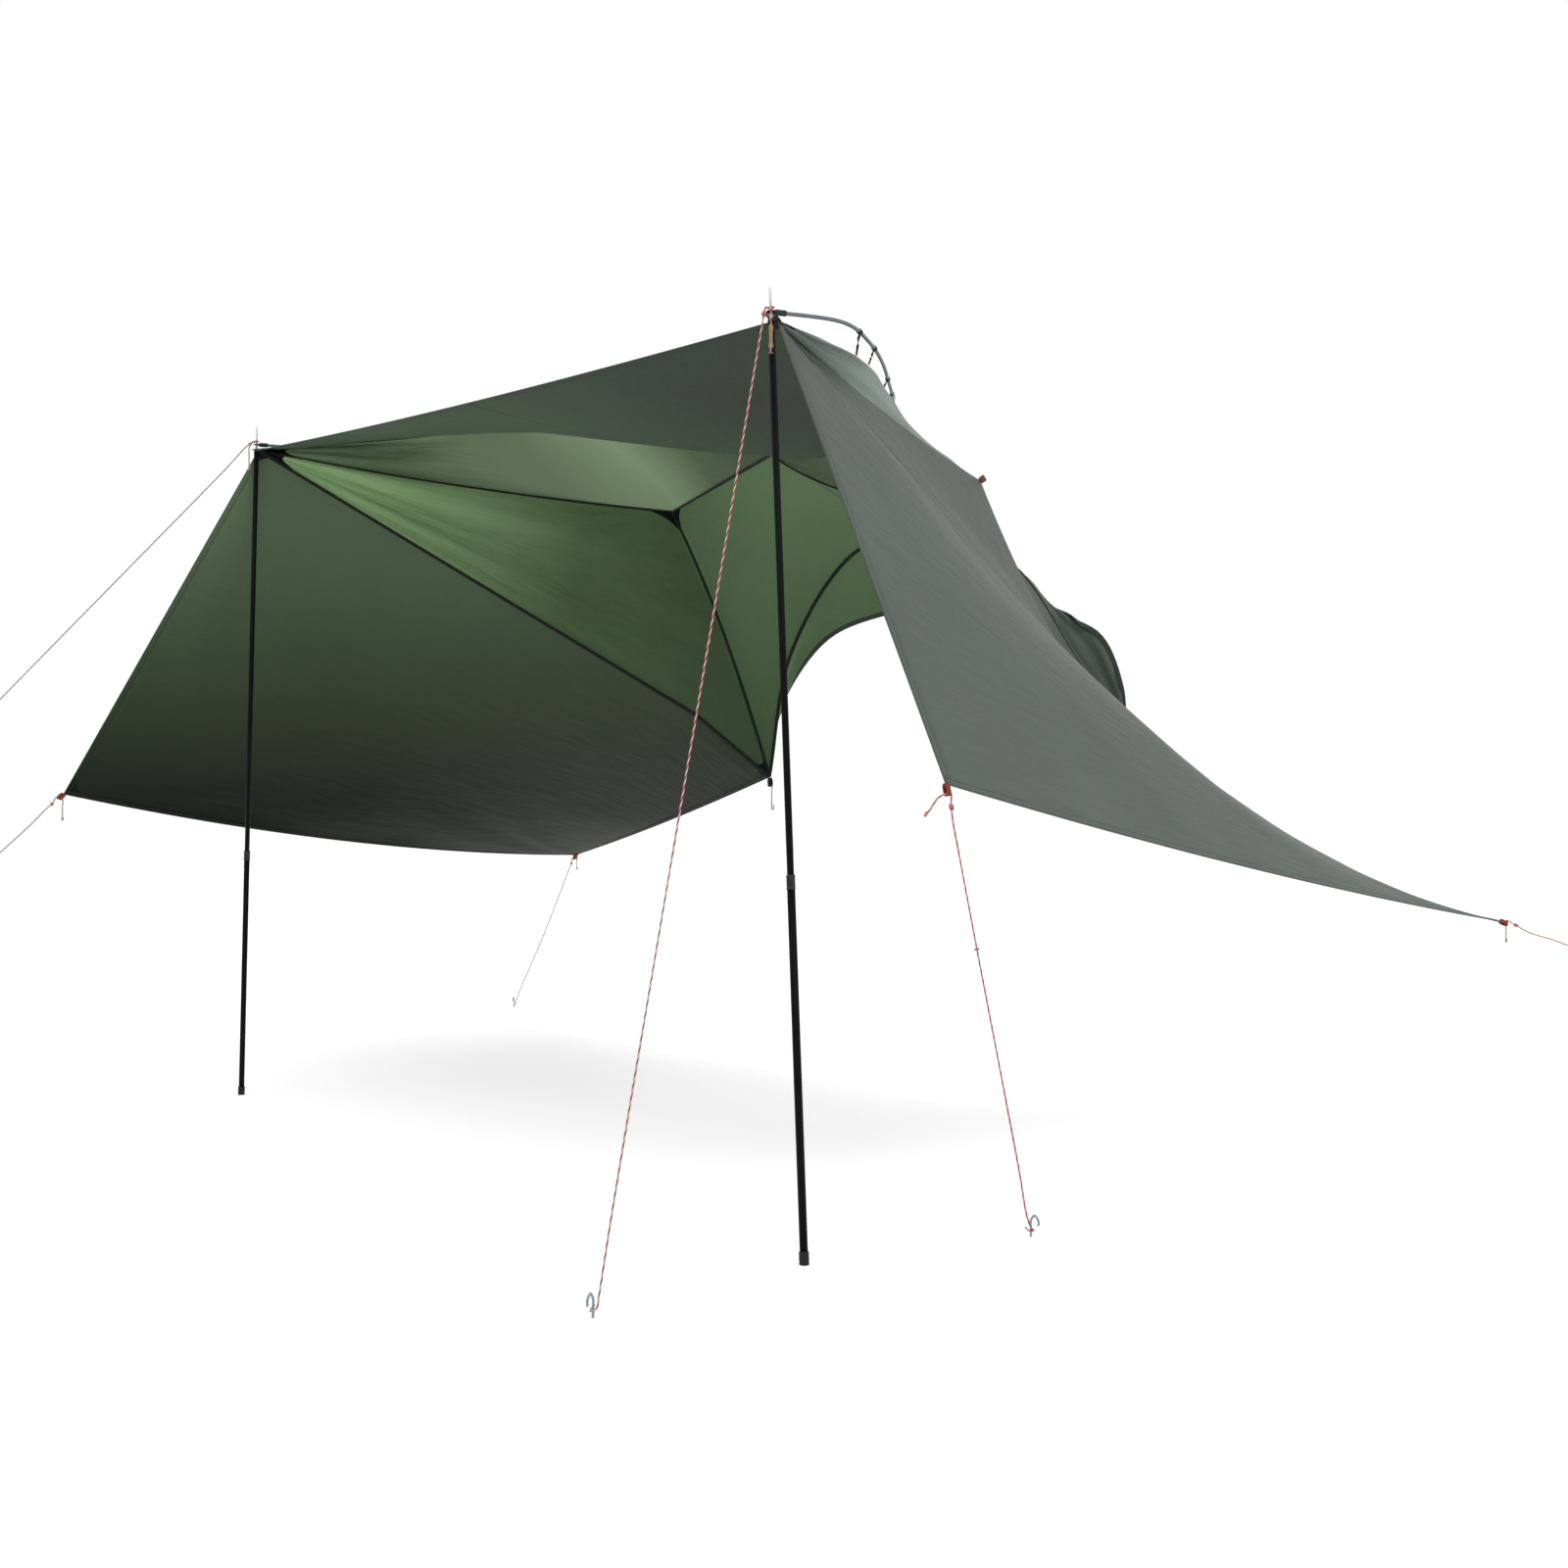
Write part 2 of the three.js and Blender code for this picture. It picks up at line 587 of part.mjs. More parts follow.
function rodSocket(name, pinAxis, share, inward) {
  const start = rodCurve.getPointAt(share);
  const along = (length) => share + inward * rodShare(length);
  const span = (from, to) => new CurveSpan(rodCurve, along(from), along(to));
  const bore = rodRadius + rodClearance;
  const leanTo = new THREE.Quaternion().setFromUnitVectors(up, pinAxis);
  const onPin = (geometry) => asSolid(geometry.applyQuaternion(leanTo).translate(start.x, start.y, start.z));
  const ring = onPin(turned(rodProfile(endRingDiameter / 2, -endRingThickness / 2, endRingThickness / 2)));
  const eye = onPin(turned(rodProfile(pinDiameter / 2 + clearance, -cutOverrun, cutOverrun)));
  const reach = socketSetback + socketLength;
  const round = (from, to, radius) => asSolid(tubeAlong(span(from, to), radius, roundSides, socketSteps));
  const barrel = round(endRingDiameter / 4, reach, bore + socketWall);
  const hollow = round(socketSetback, reach + cutOverrun, bore);
  addPart(name, fromSolid(ring.add(barrel).subtract(hollow).subtract(eye)), blackPlastic);
}

rodSocket('right_rod_socket', onRightPin(1).sub(onRightPin(0)), 0, 1);
rodSocket('left_rod_socket', onLeftPin(1).sub(onLeftPin(0)), 1, -1);

// Clips: a ring about the rod and a strap down to the roof's crest
const crest = joined(edges.crestLeft, edges.crestRight);
const nearestOnCrest = (point) => crest.reduce((best, spot, i) => (
  spot.distanceTo(point) < crest[best].distanceTo(point) ? i : best), 0);
function roofClip(index, share) {
  const ring = rodCurve.getPointAt(share);
  const nearest = nearestOnCrest(ring);
  const foot = crest[nearest];
  const crestWay = crest[nearest + 1].clone().sub(crest[nearest - 1]);
  const tangent = rodCurve.getTangentAt(share);
  const bore = rodRadius + rodClearance;
  const down = foot.clone().sub(ring);
  const turnTo = new THREE.Quaternion().setFromUnitVectors(up, tangent);
  const onRod = (geometry) => asSolid(geometry.applyQuaternion(turnTo).translate(ring.x, ring.y, ring.z));
  const loop = onRod(turned(rodProfile(bore + clipWall, -clipLength / 2, clipLength / 2)));
  const hollow = onRod(turned(rodProfile(bore, -strapWidth - cutOverrun, strapWidth + cutOverrun)));
  const strapLength = down.length() - bore - clipWall / 2;
  const strap = new THREE.BoxGeometry(strapLength, strapThickness, strapWidth);
  strap.translate(bore + clipWall / 2 + strapLength / 2, 0, 0);
  const clip = loop.add(asSolid(framed(strap, ring, down, crestWay))).subtract(hollow);
  addPart(`roof_clip_${index + 1}`, clearOfCloth(clip), blackWebbing);
}
clipShares.forEach((share, index) => roofClip(index, share));

// Webbing loops sewn to the corners, each standing out along its own pull
const racetrack = (length, height) => {
  const radius = height / 2;
  const shape = new THREE.Shape();
  shape.moveTo(0, -radius);
  shape.lineTo(length - radius, -radius);
  for (let i = 1; i < bendSteps; i += 1) {
    const turn = -Math.PI / 2 + (i * Math.PI) / bendSteps;
    shape.lineTo(length - radius + radius * Math.cos(turn), radius * Math.sin(turn));
  }
  shape.lineTo(length - radius, radius);
  shape.lineTo(0, radius);
  shape.closePath();
  return shape;
};

function webbingLoop(name, corner, pull, clothNormal, material, lift = 0, length = loopLength) {
  const shape = racetrack(length, loopHeight);
  const slot = racetrack(length - 2 * loopWall, loopHeight - 2 * loopWall);
  const hole = new THREE.Path(slot.getPoints().map((p) => new THREE.Vector2(p.x + loopWall, p.y)));
  shape.holes.push(hole);
  const band = new THREE.ExtrudeGeometry(shape, { depth: loopWidth, bevelEnabled: false });
  band.translate(0, 0, -loopWidth / 2);
  const along = pull.clone().normalize();
  const origin = corner.clone().addScaledVector(along, lift - loopSewn);
  const across = along.clone().cross(clothNormal).normalize();
  addPart(name, clearOfCloth(asSolid(framed(band, origin, along, across))), material);
}

const leftWingFace = outwardOf(at.leftTop, at.frontLeft, at.wingLeft);
const rightWingFace = outwardOf(at.rightTop, at.frontRight, at.wingRight);
const rearFace = outwardOf(at.crownLeft, at.crownRight, at.backLeft);
const away = (x, y, z) => new THREE.Vector3(x, y, z);
webbingLoop('front_right_loop', at.frontRight, away(0.18, 0.08, -1), rightWingFace, redWebbing);
webbingLoop('front_left_loop', at.frontLeft, away(-0.73, -0.38, -0.57), leftWingFace, redWebbing);
webbingLoop('wing_right_loop', at.wingRight, away(0.6, 0.7, -0.35), rightWingFace, redWebbing);
webbingLoop('wing_left_loop', at.wingLeft, away(-0.7, 0.14, -0.7), leftWingFace, redWebbing);
const clearBelow = loopSewn + 4 * clearance;
webbingLoop('back_left_loop', at.backLeft, away(0.05, 0.05, -1), rearFace, blackWebbing, clearBelow);
for (const [name, corner] of [['crown_left_loop', at.crownLeft], ['crown_right_loop', at.crownRight]]) {
  const straightOut = spotNormals.get(spotKey(corner)).clone().normalize();
  webbingLoop(name, corner, straightOut, rightWingFace, redWebbing, clothThickness / 2, crownLoopLength);
}

// Guy ropes: each route is a list of points, in millimetres, from its hanging tail to its far end
const routes = {
  right_top_guy: [
    [-181, 34, 2424], [-181, 34, 2470], [-181, 34, 2525], [-185, 38, 2550], [-195, 56, 2556],
    [-205, 58, 2556], [-210, 48, 2556], [-201, 32, 2553], [-194, 22, 2536], [-123, -177, 1832],
    [-29, -441, 902], [40, -633, 223],
    [64, -684, 50], [71, -696, 22], [66, -708, 18], [55, -701, 18], [54, -689, 26],
  ],
  left_top_guy: [
    [-3399, -69, 2556], [-3399, -69, 2610], [-3398, -68, 2650], [-3390, -58, 2669], [-3378, -51, 2671],
    [-3376, -40, 2671], [-3388, -38, 2671], [-3408, -57, 2667], [-3507, -136, 2553], [-3805, -374, 2212],
    [-4152, -652, 1814], [-4330, -794, 1610],
  ],
  front_right_guy: [
    [-117, 546, 1171], [-104, 556, 1190], [-85, 568, 1222], [-69, 580, 1234], [-72, 608, 1236],
    [-66, 603, 1205], [-57, 601, 1157], [-42, 607, 1077], [10, 630, 795], [78, 660, 433],
    [127, 681, 170], [145, 689, 60], [154, 698, 22], [168, 694, 18], [162, 681, 18], [149, 680, 26],
  ],
  front_left_guy: [
    [-4157, -561, 1140], [-4157, -561, 1190], [-4156, -562, 1231], [-4148, -588, 1237], [-4175, -595, 1212],
    [-4205, -610, 1190], [-4300, -652, 1116], [-4510, -763, 950],
  ],
  wing_right_guy: [
    [-255, 3984, 640], [-256, 3985, 690], [-256, 3985, 706], [-261, 4000, 729], [-239, 4019, 713],
    [-200, 4065, 680], [-130, 4152, 645], [-60, 4240, 600],
  ],
  wing_left_guy: [
    [-4826, 2420, 850], [-4826, 2420, 890], [-4826, 2418, 918], [-4825, 2391, 912], [-4850, 2400, 888],
    [-4900, 2412, 842], [-5297, 2497, 457], [-5755, 2592, 36], [-5766, 2599, 22], [-5779, 2591, 18],
    [-5768, 2580, 18], [-5757, 2581, 24],
  ],
  hook_line: [
    [-2213, 1664, 1286], [-2199, 1663, 1287], [-2185, 1661, 1286], [-2186, 1663, 1268], [-2192, 1666, 1246],
    [-2193, 1667, 1222],
  ],
};

// Steps follow the route's points, so that tight loops keep their shape
class Route extends THREE.CatmullRomCurve3 {
  getPointAt(share, target) {
    return this.getPoint(share, target);
  }

  getTangentAt(share, target) {
    return this.getTangent(share, target);
  }
}

function rope(name, diameter, material) {
  const points = routes[name].map(([x, y, z]) => new THREE.Vector3(x, y, z));
  const curve = new Route(points, false, 'centripetal');
  addPart(name, tubeAlong(curve, diameter / 2, ropeSides, ropeStepsPerPoint * (points.length - 1)), material);
}

rope('right_top_guy', ropeDiameter, paleRope);
rope('left_top_guy', ropeDiameter, paleRope);
rope('front_right_guy', ropeDiameter, redRope);
rope('front_left_guy', ropeDiameter, paleRope);
rope('wing_right_guy', ropeDiameter, orangeRope);
rope('wing_left_guy', ropeDiameter, paleRope);
rope('hook_line', hookLineDiameter, redRope);

// Pegs: the hooked heads that stand out of the ground, each hook turned from the tent, inside its rope's turn
const turnFromEnd = -3;

function peg(name, ropeName, awayX, awayY) {
  const side = new THREE.Vector3(awayX, awayY, 0).normalize();
  const turn = new THREE.Vector3(...routes[ropeName].at(turnFromEnd));
  const { x, y } = turn.addScaledVector(side, -(ropeDiameter + pegDiameter) / 2 - pegPlay);
  const spot = (reach, height) => new THREE.Vector3(x, y, height).addScaledVector(side, reach);
  const curve = new Route([
    spot(0, 0), spot(0, pegRise / 2), spot(0, pegRise), spot(pegHookReach / 2, pegRise + pegHookDrop),
    spot(pegHookReach, pegRise), spot(pegHookReach, pegRise - pegHookDrop),
  ], false, 'centripetal');
  const steel = asSolid(tubeAlong(curve, pegDiameter / 2, rodSides, pegSteps));
  const below = asSolid(new THREE.BoxGeometry(pegRise, pegRise, pegRise).translate(x, y, -pegRise / 2));
  addPart(name, fromSolid(steel.subtract(below)), pegSteel);
}

peg('right_top_peg', 'right_top_guy', 0.336, -0.942);
peg('front_right_peg', 'front_right_guy', 0.925, 0.379);
peg('wing_left_peg', 'wing_left_guy', -0.981, 0.193);

// A flat runner on the front guy, and a long one hanging on the tail of the right top guy
function onRoute(name, index) {
  const around = routes[name].slice(index - 1, index + 2);
  const [from, spot, to] = around.map((point) => new THREE.Vector3(...point));
  return { spot, way: to.sub(from).normalize() };
}

const runnerHole = ropeDiameter / 2 + rodClearance;
const flatRunner = new THREE.Shape();
flatRunner.moveTo(-runnerWidth / 2, -runnerWidth / 2);
flatRunner.lineTo(runnerWidth / 2, -runnerWidth / 2);
flatRunner.lineTo(runnerWidth / 2, runnerLength - runnerWidth / 2);
flatRunner.lineTo(-runnerWidth / 2, runnerLength - runnerWidth / 2);
flatRunner.closePath();
flatRunner.holes.push(circle(runnerHole, roundSides));
const runnerPlate = new THREE.ExtrudeGeometry(flatRunner, { depth: runnerThickness, bevelEnabled: false });
const frontSpot = onRoute('front_right_guy', 8);
runnerPlate.translate(0, 0, -runnerThickness / 2);
runnerPlate.applyQuaternion(new THREE.Quaternion().setFromUnitVectors(up, frontSpot.way));
addPart('front_runner', runnerPlate.translate(...frontSpot.spot.toArray()), tanPlastic);

const tailSpot = onRoute('right_top_guy', 1);
const halfRunner = hangingRunnerLength / 2;
const tailRunner = turned(ringProfile(runnerHole, hangingRunnerDiameter / 2, -halfRunner, halfRunner));
addPart('tail_runner', tailRunner.translate(...tailSpot.spot.toArray()), tanPlastic);

// The hook on the short line at the back corner
const lineEnd = new THREE.Vector3(...routes.hook_line[routes.hook_line.length - 1]);
const hookSpot = (x, z) => lineEnd.clone().add(new THREE.Vector3(x, 0, z - clearance));
const hookCurve = new Route([
  hookSpot(0, 0), hookSpot(0, -hookHeight / 2), hookSpot(0, -hookHeight),
  hookSpot(hookReach / 2, -hookHeight - hookReach / 2),
  hookSpot(hookReach, -hookHeight), hookSpot(hookReach, -hookHeight / 2),
], false, 'centripetal');
addPart('line_hook', tubeAlong(hookCurve, hookWireDiameter / 2, rodSides, pegSteps), redWebbing);

export default tent;
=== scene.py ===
"""A pitched car tent: a sewn canopy on two telescoping poles and a bowed rod, held out by guy ropes.

Metres, +Z up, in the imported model's own frame: the origin is the middle of the right pole's foot.
"""
import math

import bmesh
import bpy
import numpy as np
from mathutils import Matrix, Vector, noise


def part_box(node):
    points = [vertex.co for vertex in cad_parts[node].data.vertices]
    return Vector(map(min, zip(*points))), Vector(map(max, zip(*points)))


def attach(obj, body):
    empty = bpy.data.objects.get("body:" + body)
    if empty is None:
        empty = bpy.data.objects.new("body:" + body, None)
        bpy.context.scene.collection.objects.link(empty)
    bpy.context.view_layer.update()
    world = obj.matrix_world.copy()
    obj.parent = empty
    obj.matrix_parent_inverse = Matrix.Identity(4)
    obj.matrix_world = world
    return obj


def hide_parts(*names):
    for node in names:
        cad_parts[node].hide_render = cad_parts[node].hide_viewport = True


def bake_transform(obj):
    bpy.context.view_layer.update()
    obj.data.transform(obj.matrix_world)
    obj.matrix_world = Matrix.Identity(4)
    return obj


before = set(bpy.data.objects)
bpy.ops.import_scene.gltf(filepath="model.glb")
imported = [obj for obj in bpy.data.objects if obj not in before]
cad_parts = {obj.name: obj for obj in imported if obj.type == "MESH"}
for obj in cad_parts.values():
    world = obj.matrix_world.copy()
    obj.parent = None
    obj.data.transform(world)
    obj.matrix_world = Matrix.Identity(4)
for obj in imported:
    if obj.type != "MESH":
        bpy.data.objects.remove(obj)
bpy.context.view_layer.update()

# Camera, from the vanishing lines and the known sizes in the photograph
PHOTO_SIDE_PX = 1600
FOCAL_PX = 1859
HORIZON_PX = 822.6
SENSOR_WIDTH = 36.0
CAMERA_AT = (3.649, -3.066, 1.20)
CAMERA_AZIMUTH = 50.6

# Overall sizes, repeated from the part's source
POLE_SPAN = 3.64
WING_REACH = 3.974
ROOF_HEIGHT = 2.53
SCALE = np.array([POLE_SPAN, WING_REACH, ROOF_HEIGHT])
UP = np.array([0.0, 0.0, 1.0])
CLOTH_THICKNESS = 0.0012

# Poles, rod and webbing
LOWER_RADIUS = 0.011
LOWER_LENGTH = 1.0
UPPER_RADIUS = 0.0095
TUBE_OVERLAP = 0.3
FOOT_RADIUS = 0.0135
FOOT_HEIGHT = 0.035
FOOT_FLOOR = 0.006
COLLAR_RADIUS = 0.0125
COLLAR_HEIGHT = 0.04
COLLAR_SEAT = 0.025
FLANGE = 0.005
PIN_RADIUS = 0.004
PIN_LENGTH = 0.095
PIN_TIP = 0.0015
TAB_RISE = 0.007
TAB_LENGTH = 0.062
TAB_WIDTH = 0.034
TAB_THICKNESS = 0.0025
TAB_INSET = 0.017
TAB_HOLE = 0.007
ROD_RADIUS = 0.0055
ROD_PLAY = 0.0008
FERRULE_WALL = 0.002
FERRULE_LENGTH = 0.07
END_RING_RADIUS = 0.012
END_RING_THICKNESS = 0.004
END_RING_RISE = 0.017
SOCKET_REACH = 0.048
CLIP_LENGTH = 0.014
CLIP_WALL = 0.002
STRAP_WIDTH = 0.012
LOOP_LENGTH = 0.04
CROWN_LOOP_LENGTH = 0.024
LOOP_HEIGHT = 0.015
LOOP_WALL = 0.002
LOOP_WIDTH = 0.02
LOOP_SEWN = 0.005
CLEAR = 0.0003
ROPE_DIAMETER = 0.005
HOOK_LINE_DIAMETER = 0.004
PEG_RADIUS = 0.0033
PEG_PLAY = 0.00245
PEG_TURN = -3
RUNNER_POINT = 8

PLACE_SHARES = {
    "right_top": (-0.058, 0.020, 0.999),
    "left_top": (-0.935, -0.007, 1.044),
    "front_right": (-0.021, 0.149, 0.499),
    "front_left": (-1.135, -0.142, 0.494),
    "wing_right": (-0.076, 1, 0.287),
    "wing_left": (-1.32, 0.604, 0.369),
    "back_left": (-0.604, 0.418, 0.522),
    "back_right": (-0.129, 0.466, 0.577),
    "crown_left": (-0.693, 0.352, 0.96),
    "crown_right": (-0.159, 0.313, 0.898),
    "crown_mid": (-0.445, 0.302, 0.992),
    "kink_left": (-0.651, 0.356, 0.622),
    "kink_right": (-0.118, 0.4, 0.645),
    "pole_top_left": (-0.93, -0.011, 1.045),
    "pole_top_right": (-0.055, 0.0126, 1),
}
# Edges between two corners, and how far the middle hangs below the straight line between them
HUNG_EDGES = {
    "front_hem": ("left_top", "right_top", 0.018),
    "roof_seam_left": ("left_top", "crown_left", 0.022),
    "roof_seam_right": ("crown_right", "right_top", 0.022),
    "rear_seam_left": ("crown_left", "crown_mid", 0.0),
    "rear_seam_right": ("crown_mid", "crown_right", 0.1),
    "side_seam_left": ("crown_left", "back_left", -0.08),
    "side_seam_right": ("crown_right", "back_right", 0.105),
    "door_left": ("left_top", "front_left", 0.0),
    "door_right": ("right_top", "front_right", 0.0),
    "hem_left": ("front_left", "wing_left", 0.065),
    "hem_right": ("front_right", "wing_right", 0.03),
    "back_hem_left": ("back_left", "wing_left", 0.015),
    "back_hem_right": ("back_right", "wing_right", 0.095),
}
# Edges between two corners that bow through places of their own
BOWED_EDGES = {
    "crest_left": ("left_top", "crown_mid", [
        (-0.885, 0.123, 1.075), (-0.736, 0.199, 1.079), (-0.602, 0.269, 1.059),
    ]),
    "crest_right": ("crown_mid", "right_top", [
        (-0.341, 0.289, 0.964), (-0.157, 0.2, 0.988), (-0.083, 0.117, 0.988), (-0.059, 0.066, 0.988),
    ]),
    "arch": ("back_left", "back_right", [
        (-0.57, 0.421, 0.72), (-0.473, 0.43, 0.87), (-0.363, 0.443, 0.885), (-0.261, 0.453, 0.822),
        (-0.185, 0.461, 0.68),
    ]),
    "sleeve_hem": ("back_left", "back_right", [
        (-0.615, 0.44, 0.632), (-0.555, 0.458, 0.743), (-0.473, 0.478, 0.779), (-0.376, 0.486, 0.787),
        (-0.28, 0.478, 0.775), (-0.213, 0.465, 0.747), (-0.165, 0.471, 0.713), (-0.137, 0.47, 0.64),
    ]),
}
ROD_SHARES = [
    (-0.052, 0.075, 1.01), (-0.08, 0.123, 1.009), (-0.154, 0.204, 1.006), (-0.283, 0.307, 1.01),
    (-0.445, 0.317, 1.051), (-0.602, 0.284, 1.085), (-0.739, 0.214, 1.103), (-0.89, 0.133, 1.095),
    (-0.933, 0.05, 1.061),
]
CLIP_SHARES = (0.08, 0.12, 0.2, 0.36, 0.55, 0.72, 0.9)
INSIDE_SHARES = (-0.5, 0.25, 0.5)

# Guy ropes, point by point from the hanging tail to the far end
ROUTES = {
    "right_top_guy": [
        (-0.181, 0.034, 2.424), (-0.181, 0.034, 2.470), (-0.181, 0.034, 2.525), (-0.185, 0.038, 2.550),
        (-0.195, 0.056, 2.556), (-0.205, 0.058, 2.556), (-0.210, 0.048, 2.556), (-0.201, 0.032, 2.553),
        (-0.194, 0.022, 2.536), (-0.123, -0.177, 1.832), (-0.029, -0.441, 0.902), (0.040, -0.633, 0.223),
        (0.064, -0.684, 0.050), (0.071, -0.696, 0.022), (0.066, -0.708, 0.018), (0.055, -0.701, 0.018),
        (0.054, -0.689, 0.026),
    ],
    "left_top_guy": [
        (-3.399, -0.069, 2.556), (-3.399, -0.069, 2.610), (-3.398, -0.068, 2.650), (-3.390, -0.058, 2.669),
        (-3.378, -0.051, 2.671), (-3.376, -0.040, 2.671), (-3.388, -0.038, 2.671), (-3.408, -0.057, 2.667),
        (-3.507, -0.136, 2.553), (-3.805, -0.374, 2.212), (-4.152, -0.652, 1.814), (-4.330, -0.794, 1.610),
    ],
    "front_right_guy": [
        (-0.117, 0.546, 1.171), (-0.104, 0.556, 1.190), (-0.085, 0.568, 1.222), (-0.069, 0.580, 1.234),
        (-0.072, 0.608, 1.236), (-0.066, 0.603, 1.205), (-0.057, 0.601, 1.157), (-0.042, 0.607, 1.077),
        (0.010, 0.630, 0.795), (0.078, 0.660, 0.433), (0.127, 0.681, 0.170), (0.145, 0.689, 0.060),
        (0.154, 0.698, 0.022), (0.168, 0.694, 0.018), (0.162, 0.681, 0.018), (0.149, 0.680, 0.026),
    ],
    "front_left_guy": [
        (-4.157, -0.561, 1.140), (-4.157, -0.561, 1.190), (-4.156, -0.562, 1.231), (-4.148, -0.588, 1.237),
        (-4.175, -0.595, 1.212), (-4.205, -0.610, 1.190), (-4.300, -0.652, 1.116), (-4.510, -0.763, 0.950),
    ],
    "wing_right_guy": [
        (-0.255, 3.984, 0.640), (-0.256, 3.985, 0.690), (-0.256, 3.985, 0.706), (-0.261, 4.000, 0.729),
        (-0.239, 4.019, 0.713), (-0.200, 4.065, 0.680), (-0.130, 4.152, 0.645), (-0.060, 4.240, 0.600),
    ],
    "wing_left_guy": [
        (-4.826, 2.420, 0.850), (-4.826, 2.420, 0.890), (-4.826, 2.418, 0.918), (-4.825, 2.391, 0.912),
        (-4.850, 2.400, 0.888), (-4.900, 2.412, 0.842), (-5.297, 2.497, 0.457), (-5.755, 2.592, 0.036),
        (-5.766, 2.599, 0.022), (-5.779, 2.591, 0.018), (-5.768, 2.580, 0.018), (-5.757, 2.581, 0.024),
    ],
    "hook_line": [
        (-2.213, 1.664, 1.286), (-2.199, 1.663, 1.287), (-2.185, 1.661, 1.286), (-2.186, 1.663, 1.268),
        (-2.192, 1.666, 1.246), (-2.193, 1.667, 1.222),
    ],
}


def place(shares):
    return np.array(shares) * SCALE


AT = {name: place(shares) for name, shares in PLACE_SHARES.items()}
INSIDE = place(INSIDE_SHARES)


def unit(vector):
    vector = np.asarray(vector, float)
    return vector / np.maximum(np.linalg.norm(vector, axis=-1, keepdims=True), 1e-12)


def smooth(value):
    value = np.clip(value, 0, 1)
    return value * value * (3 - 2 * value)


# Materials


class Nodes:
    """The node tree of a material or of the world, written as calls."""

    def __init__(self, owner):
        owner.use_nodes = True
        self.owner = owner
        self.tree = owner.node_tree
        self.shader = self.tree.nodes.get("Principled BSDF")

    def put(self, value, socket):
        """Links a socket to another one, or gives it a plain value."""
        if isinstance(value, bpy.types.NodeSocket):
            self.tree.links.new(value, socket)
        elif socket.type == "RGBA":
            socket.default_value = (*value, 1)
        else:
            socket.default_value = value

    def add(self, kind, inputs=None, **settings):
        node = self.tree.nodes.new(kind)
        for key, value in settings.items():
            setattr(node, key, value)
        for key, value in (inputs or {}).items():
            self.put(value, node.inputs[key])
        return node

    def uv(self):
        return self.add("ShaderNodeTexCoord").outputs["UV"]

    def position(self):
        return self.add("ShaderNodeNewGeometry").outputs["Position"]

    def parts(self, vector):
        return self.add("ShaderNodeSeparateXYZ", {0: vector}).outputs

    def stretched(self, vector, scale):
        return self.add("ShaderNodeMapping", {"Vector": vector, "Scale": scale}).outputs[0]

    def math(self, operation, first, second=0.0):
        return self.add("ShaderNodeMath", {0: first, 1: second}, operation=operation).outputs[0]

    def noise(self, vector, scale, detail=2.0, roughness=0.5):
        inputs = {"Vector": vector, "Scale": scale, "Detail": detail, "Roughness": roughness}
        return self.add("ShaderNodeTexNoise", inputs).outputs["Fac"]

    def spread(self, value, low, high):
        """Carries a value that runs from 0 to 1 onto another range."""
        inputs = {"Value": value, "To Min": low, "To Max": high}
        return self.add("ShaderNodeMapRange", inputs).outputs["Result"]

    def ramp(self, value, low, high, first, second):
        """Mixes two colours as a value runs from low to high."""
        share = self.add("ShaderNodeMapRange", {"Value": value, "From Min": low, "From Max": high})
        return self.mix(share.outputs["Result"], first, second)

    def mix(self, share, first, second, blend="MIX"):
        node = self.add("ShaderNodeMix", {"Factor": share}, data_type="RGBA", blend_type=blend)
        for key, value in (("A", first), ("B", second)):
            self.put(value, next(s for s in node.inputs if s.name == key and s.type == "RGBA"))
        return next(s for s in node.outputs if s.type == "RGBA")

    def product(self, tone, *factors):
        for factor in factors:
            tone = self.mix(1.0, tone, factor, "MULTIPLY")
        return tone

    def bump(self, height, distance, strength=1.0, normal=None):
        inputs = {"Height": height, "Distance": distance, "Strength": strength}
        if normal is not None:
            inputs["Normal"] = normal
        return self.add("ShaderNodeBump", inputs).outputs["Normal"]

    def finish(self, colour, roughness, metallic=0.0, normal=None, sheen=0.0, specular=0.5):
        sockets = {"Base Color": colour, "Roughness": roughness, "Metallic": metallic, "Normal": normal,
                   "Sheen Weight": sheen, "Specular IOR Level": specular}
        for key, value in sockets.items():
            if value is not None:
                self.put(value, self.shader.inputs[key])
        return self.owner


def colour(code):
    """A linear colour from its usual six digits."""
    parts = [int(code[i:i + 2], 16) / 255 for i in (1, 3, 5)]
    return tuple(c / 12.92 if c <= 0.04045 else ((c + 0.055) / 1.055) ** 2.4 for c in parts)


def shaded(code, factor):
    return tuple(min(1.0, c * factor) for c in colour(code))


def grey(level):
    return (level,) * 3


# Pitch of the cloth's threads
THREAD = 0.0011
# Gloss of the cloth outside, and of the cloth inside, which sees little sky
CLOTH_GLOSS = 0.35
INSIDE_GLOSS = 0.12
# Heights between which the cloth inside turns from its painted shade near the ground to its higher tone
PAINTED_SHADE_TO = 1.2
PAINTED_SHADE_ENDS = 2.4
# How far the cloth's roughness strays, and the metals' and the plastics'
MOTTLE = 0.05
SCRATCH = 0.08
WEAR = 0.1
# How often the cloth's large blotches, its specks and its creases repeat in a metre
BLOTCH_SCALE = 1.7
SPECK_SCALE = 260.0
CREASE_SCALE = 5.5
CREASE_STRETCH = 3.2


def weave(nodes, uv, pitch):
    """Plain weave: warp over weft, from the cloth's own coordinates in metres."""
    waves = [nodes.math("SINE", nodes.math("MULTIPLY", nodes.parts(uv)[axis], 2 * math.pi / pitch))
             for axis in (0, 1)]
    return nodes.math("MULTIPLY", *waves)


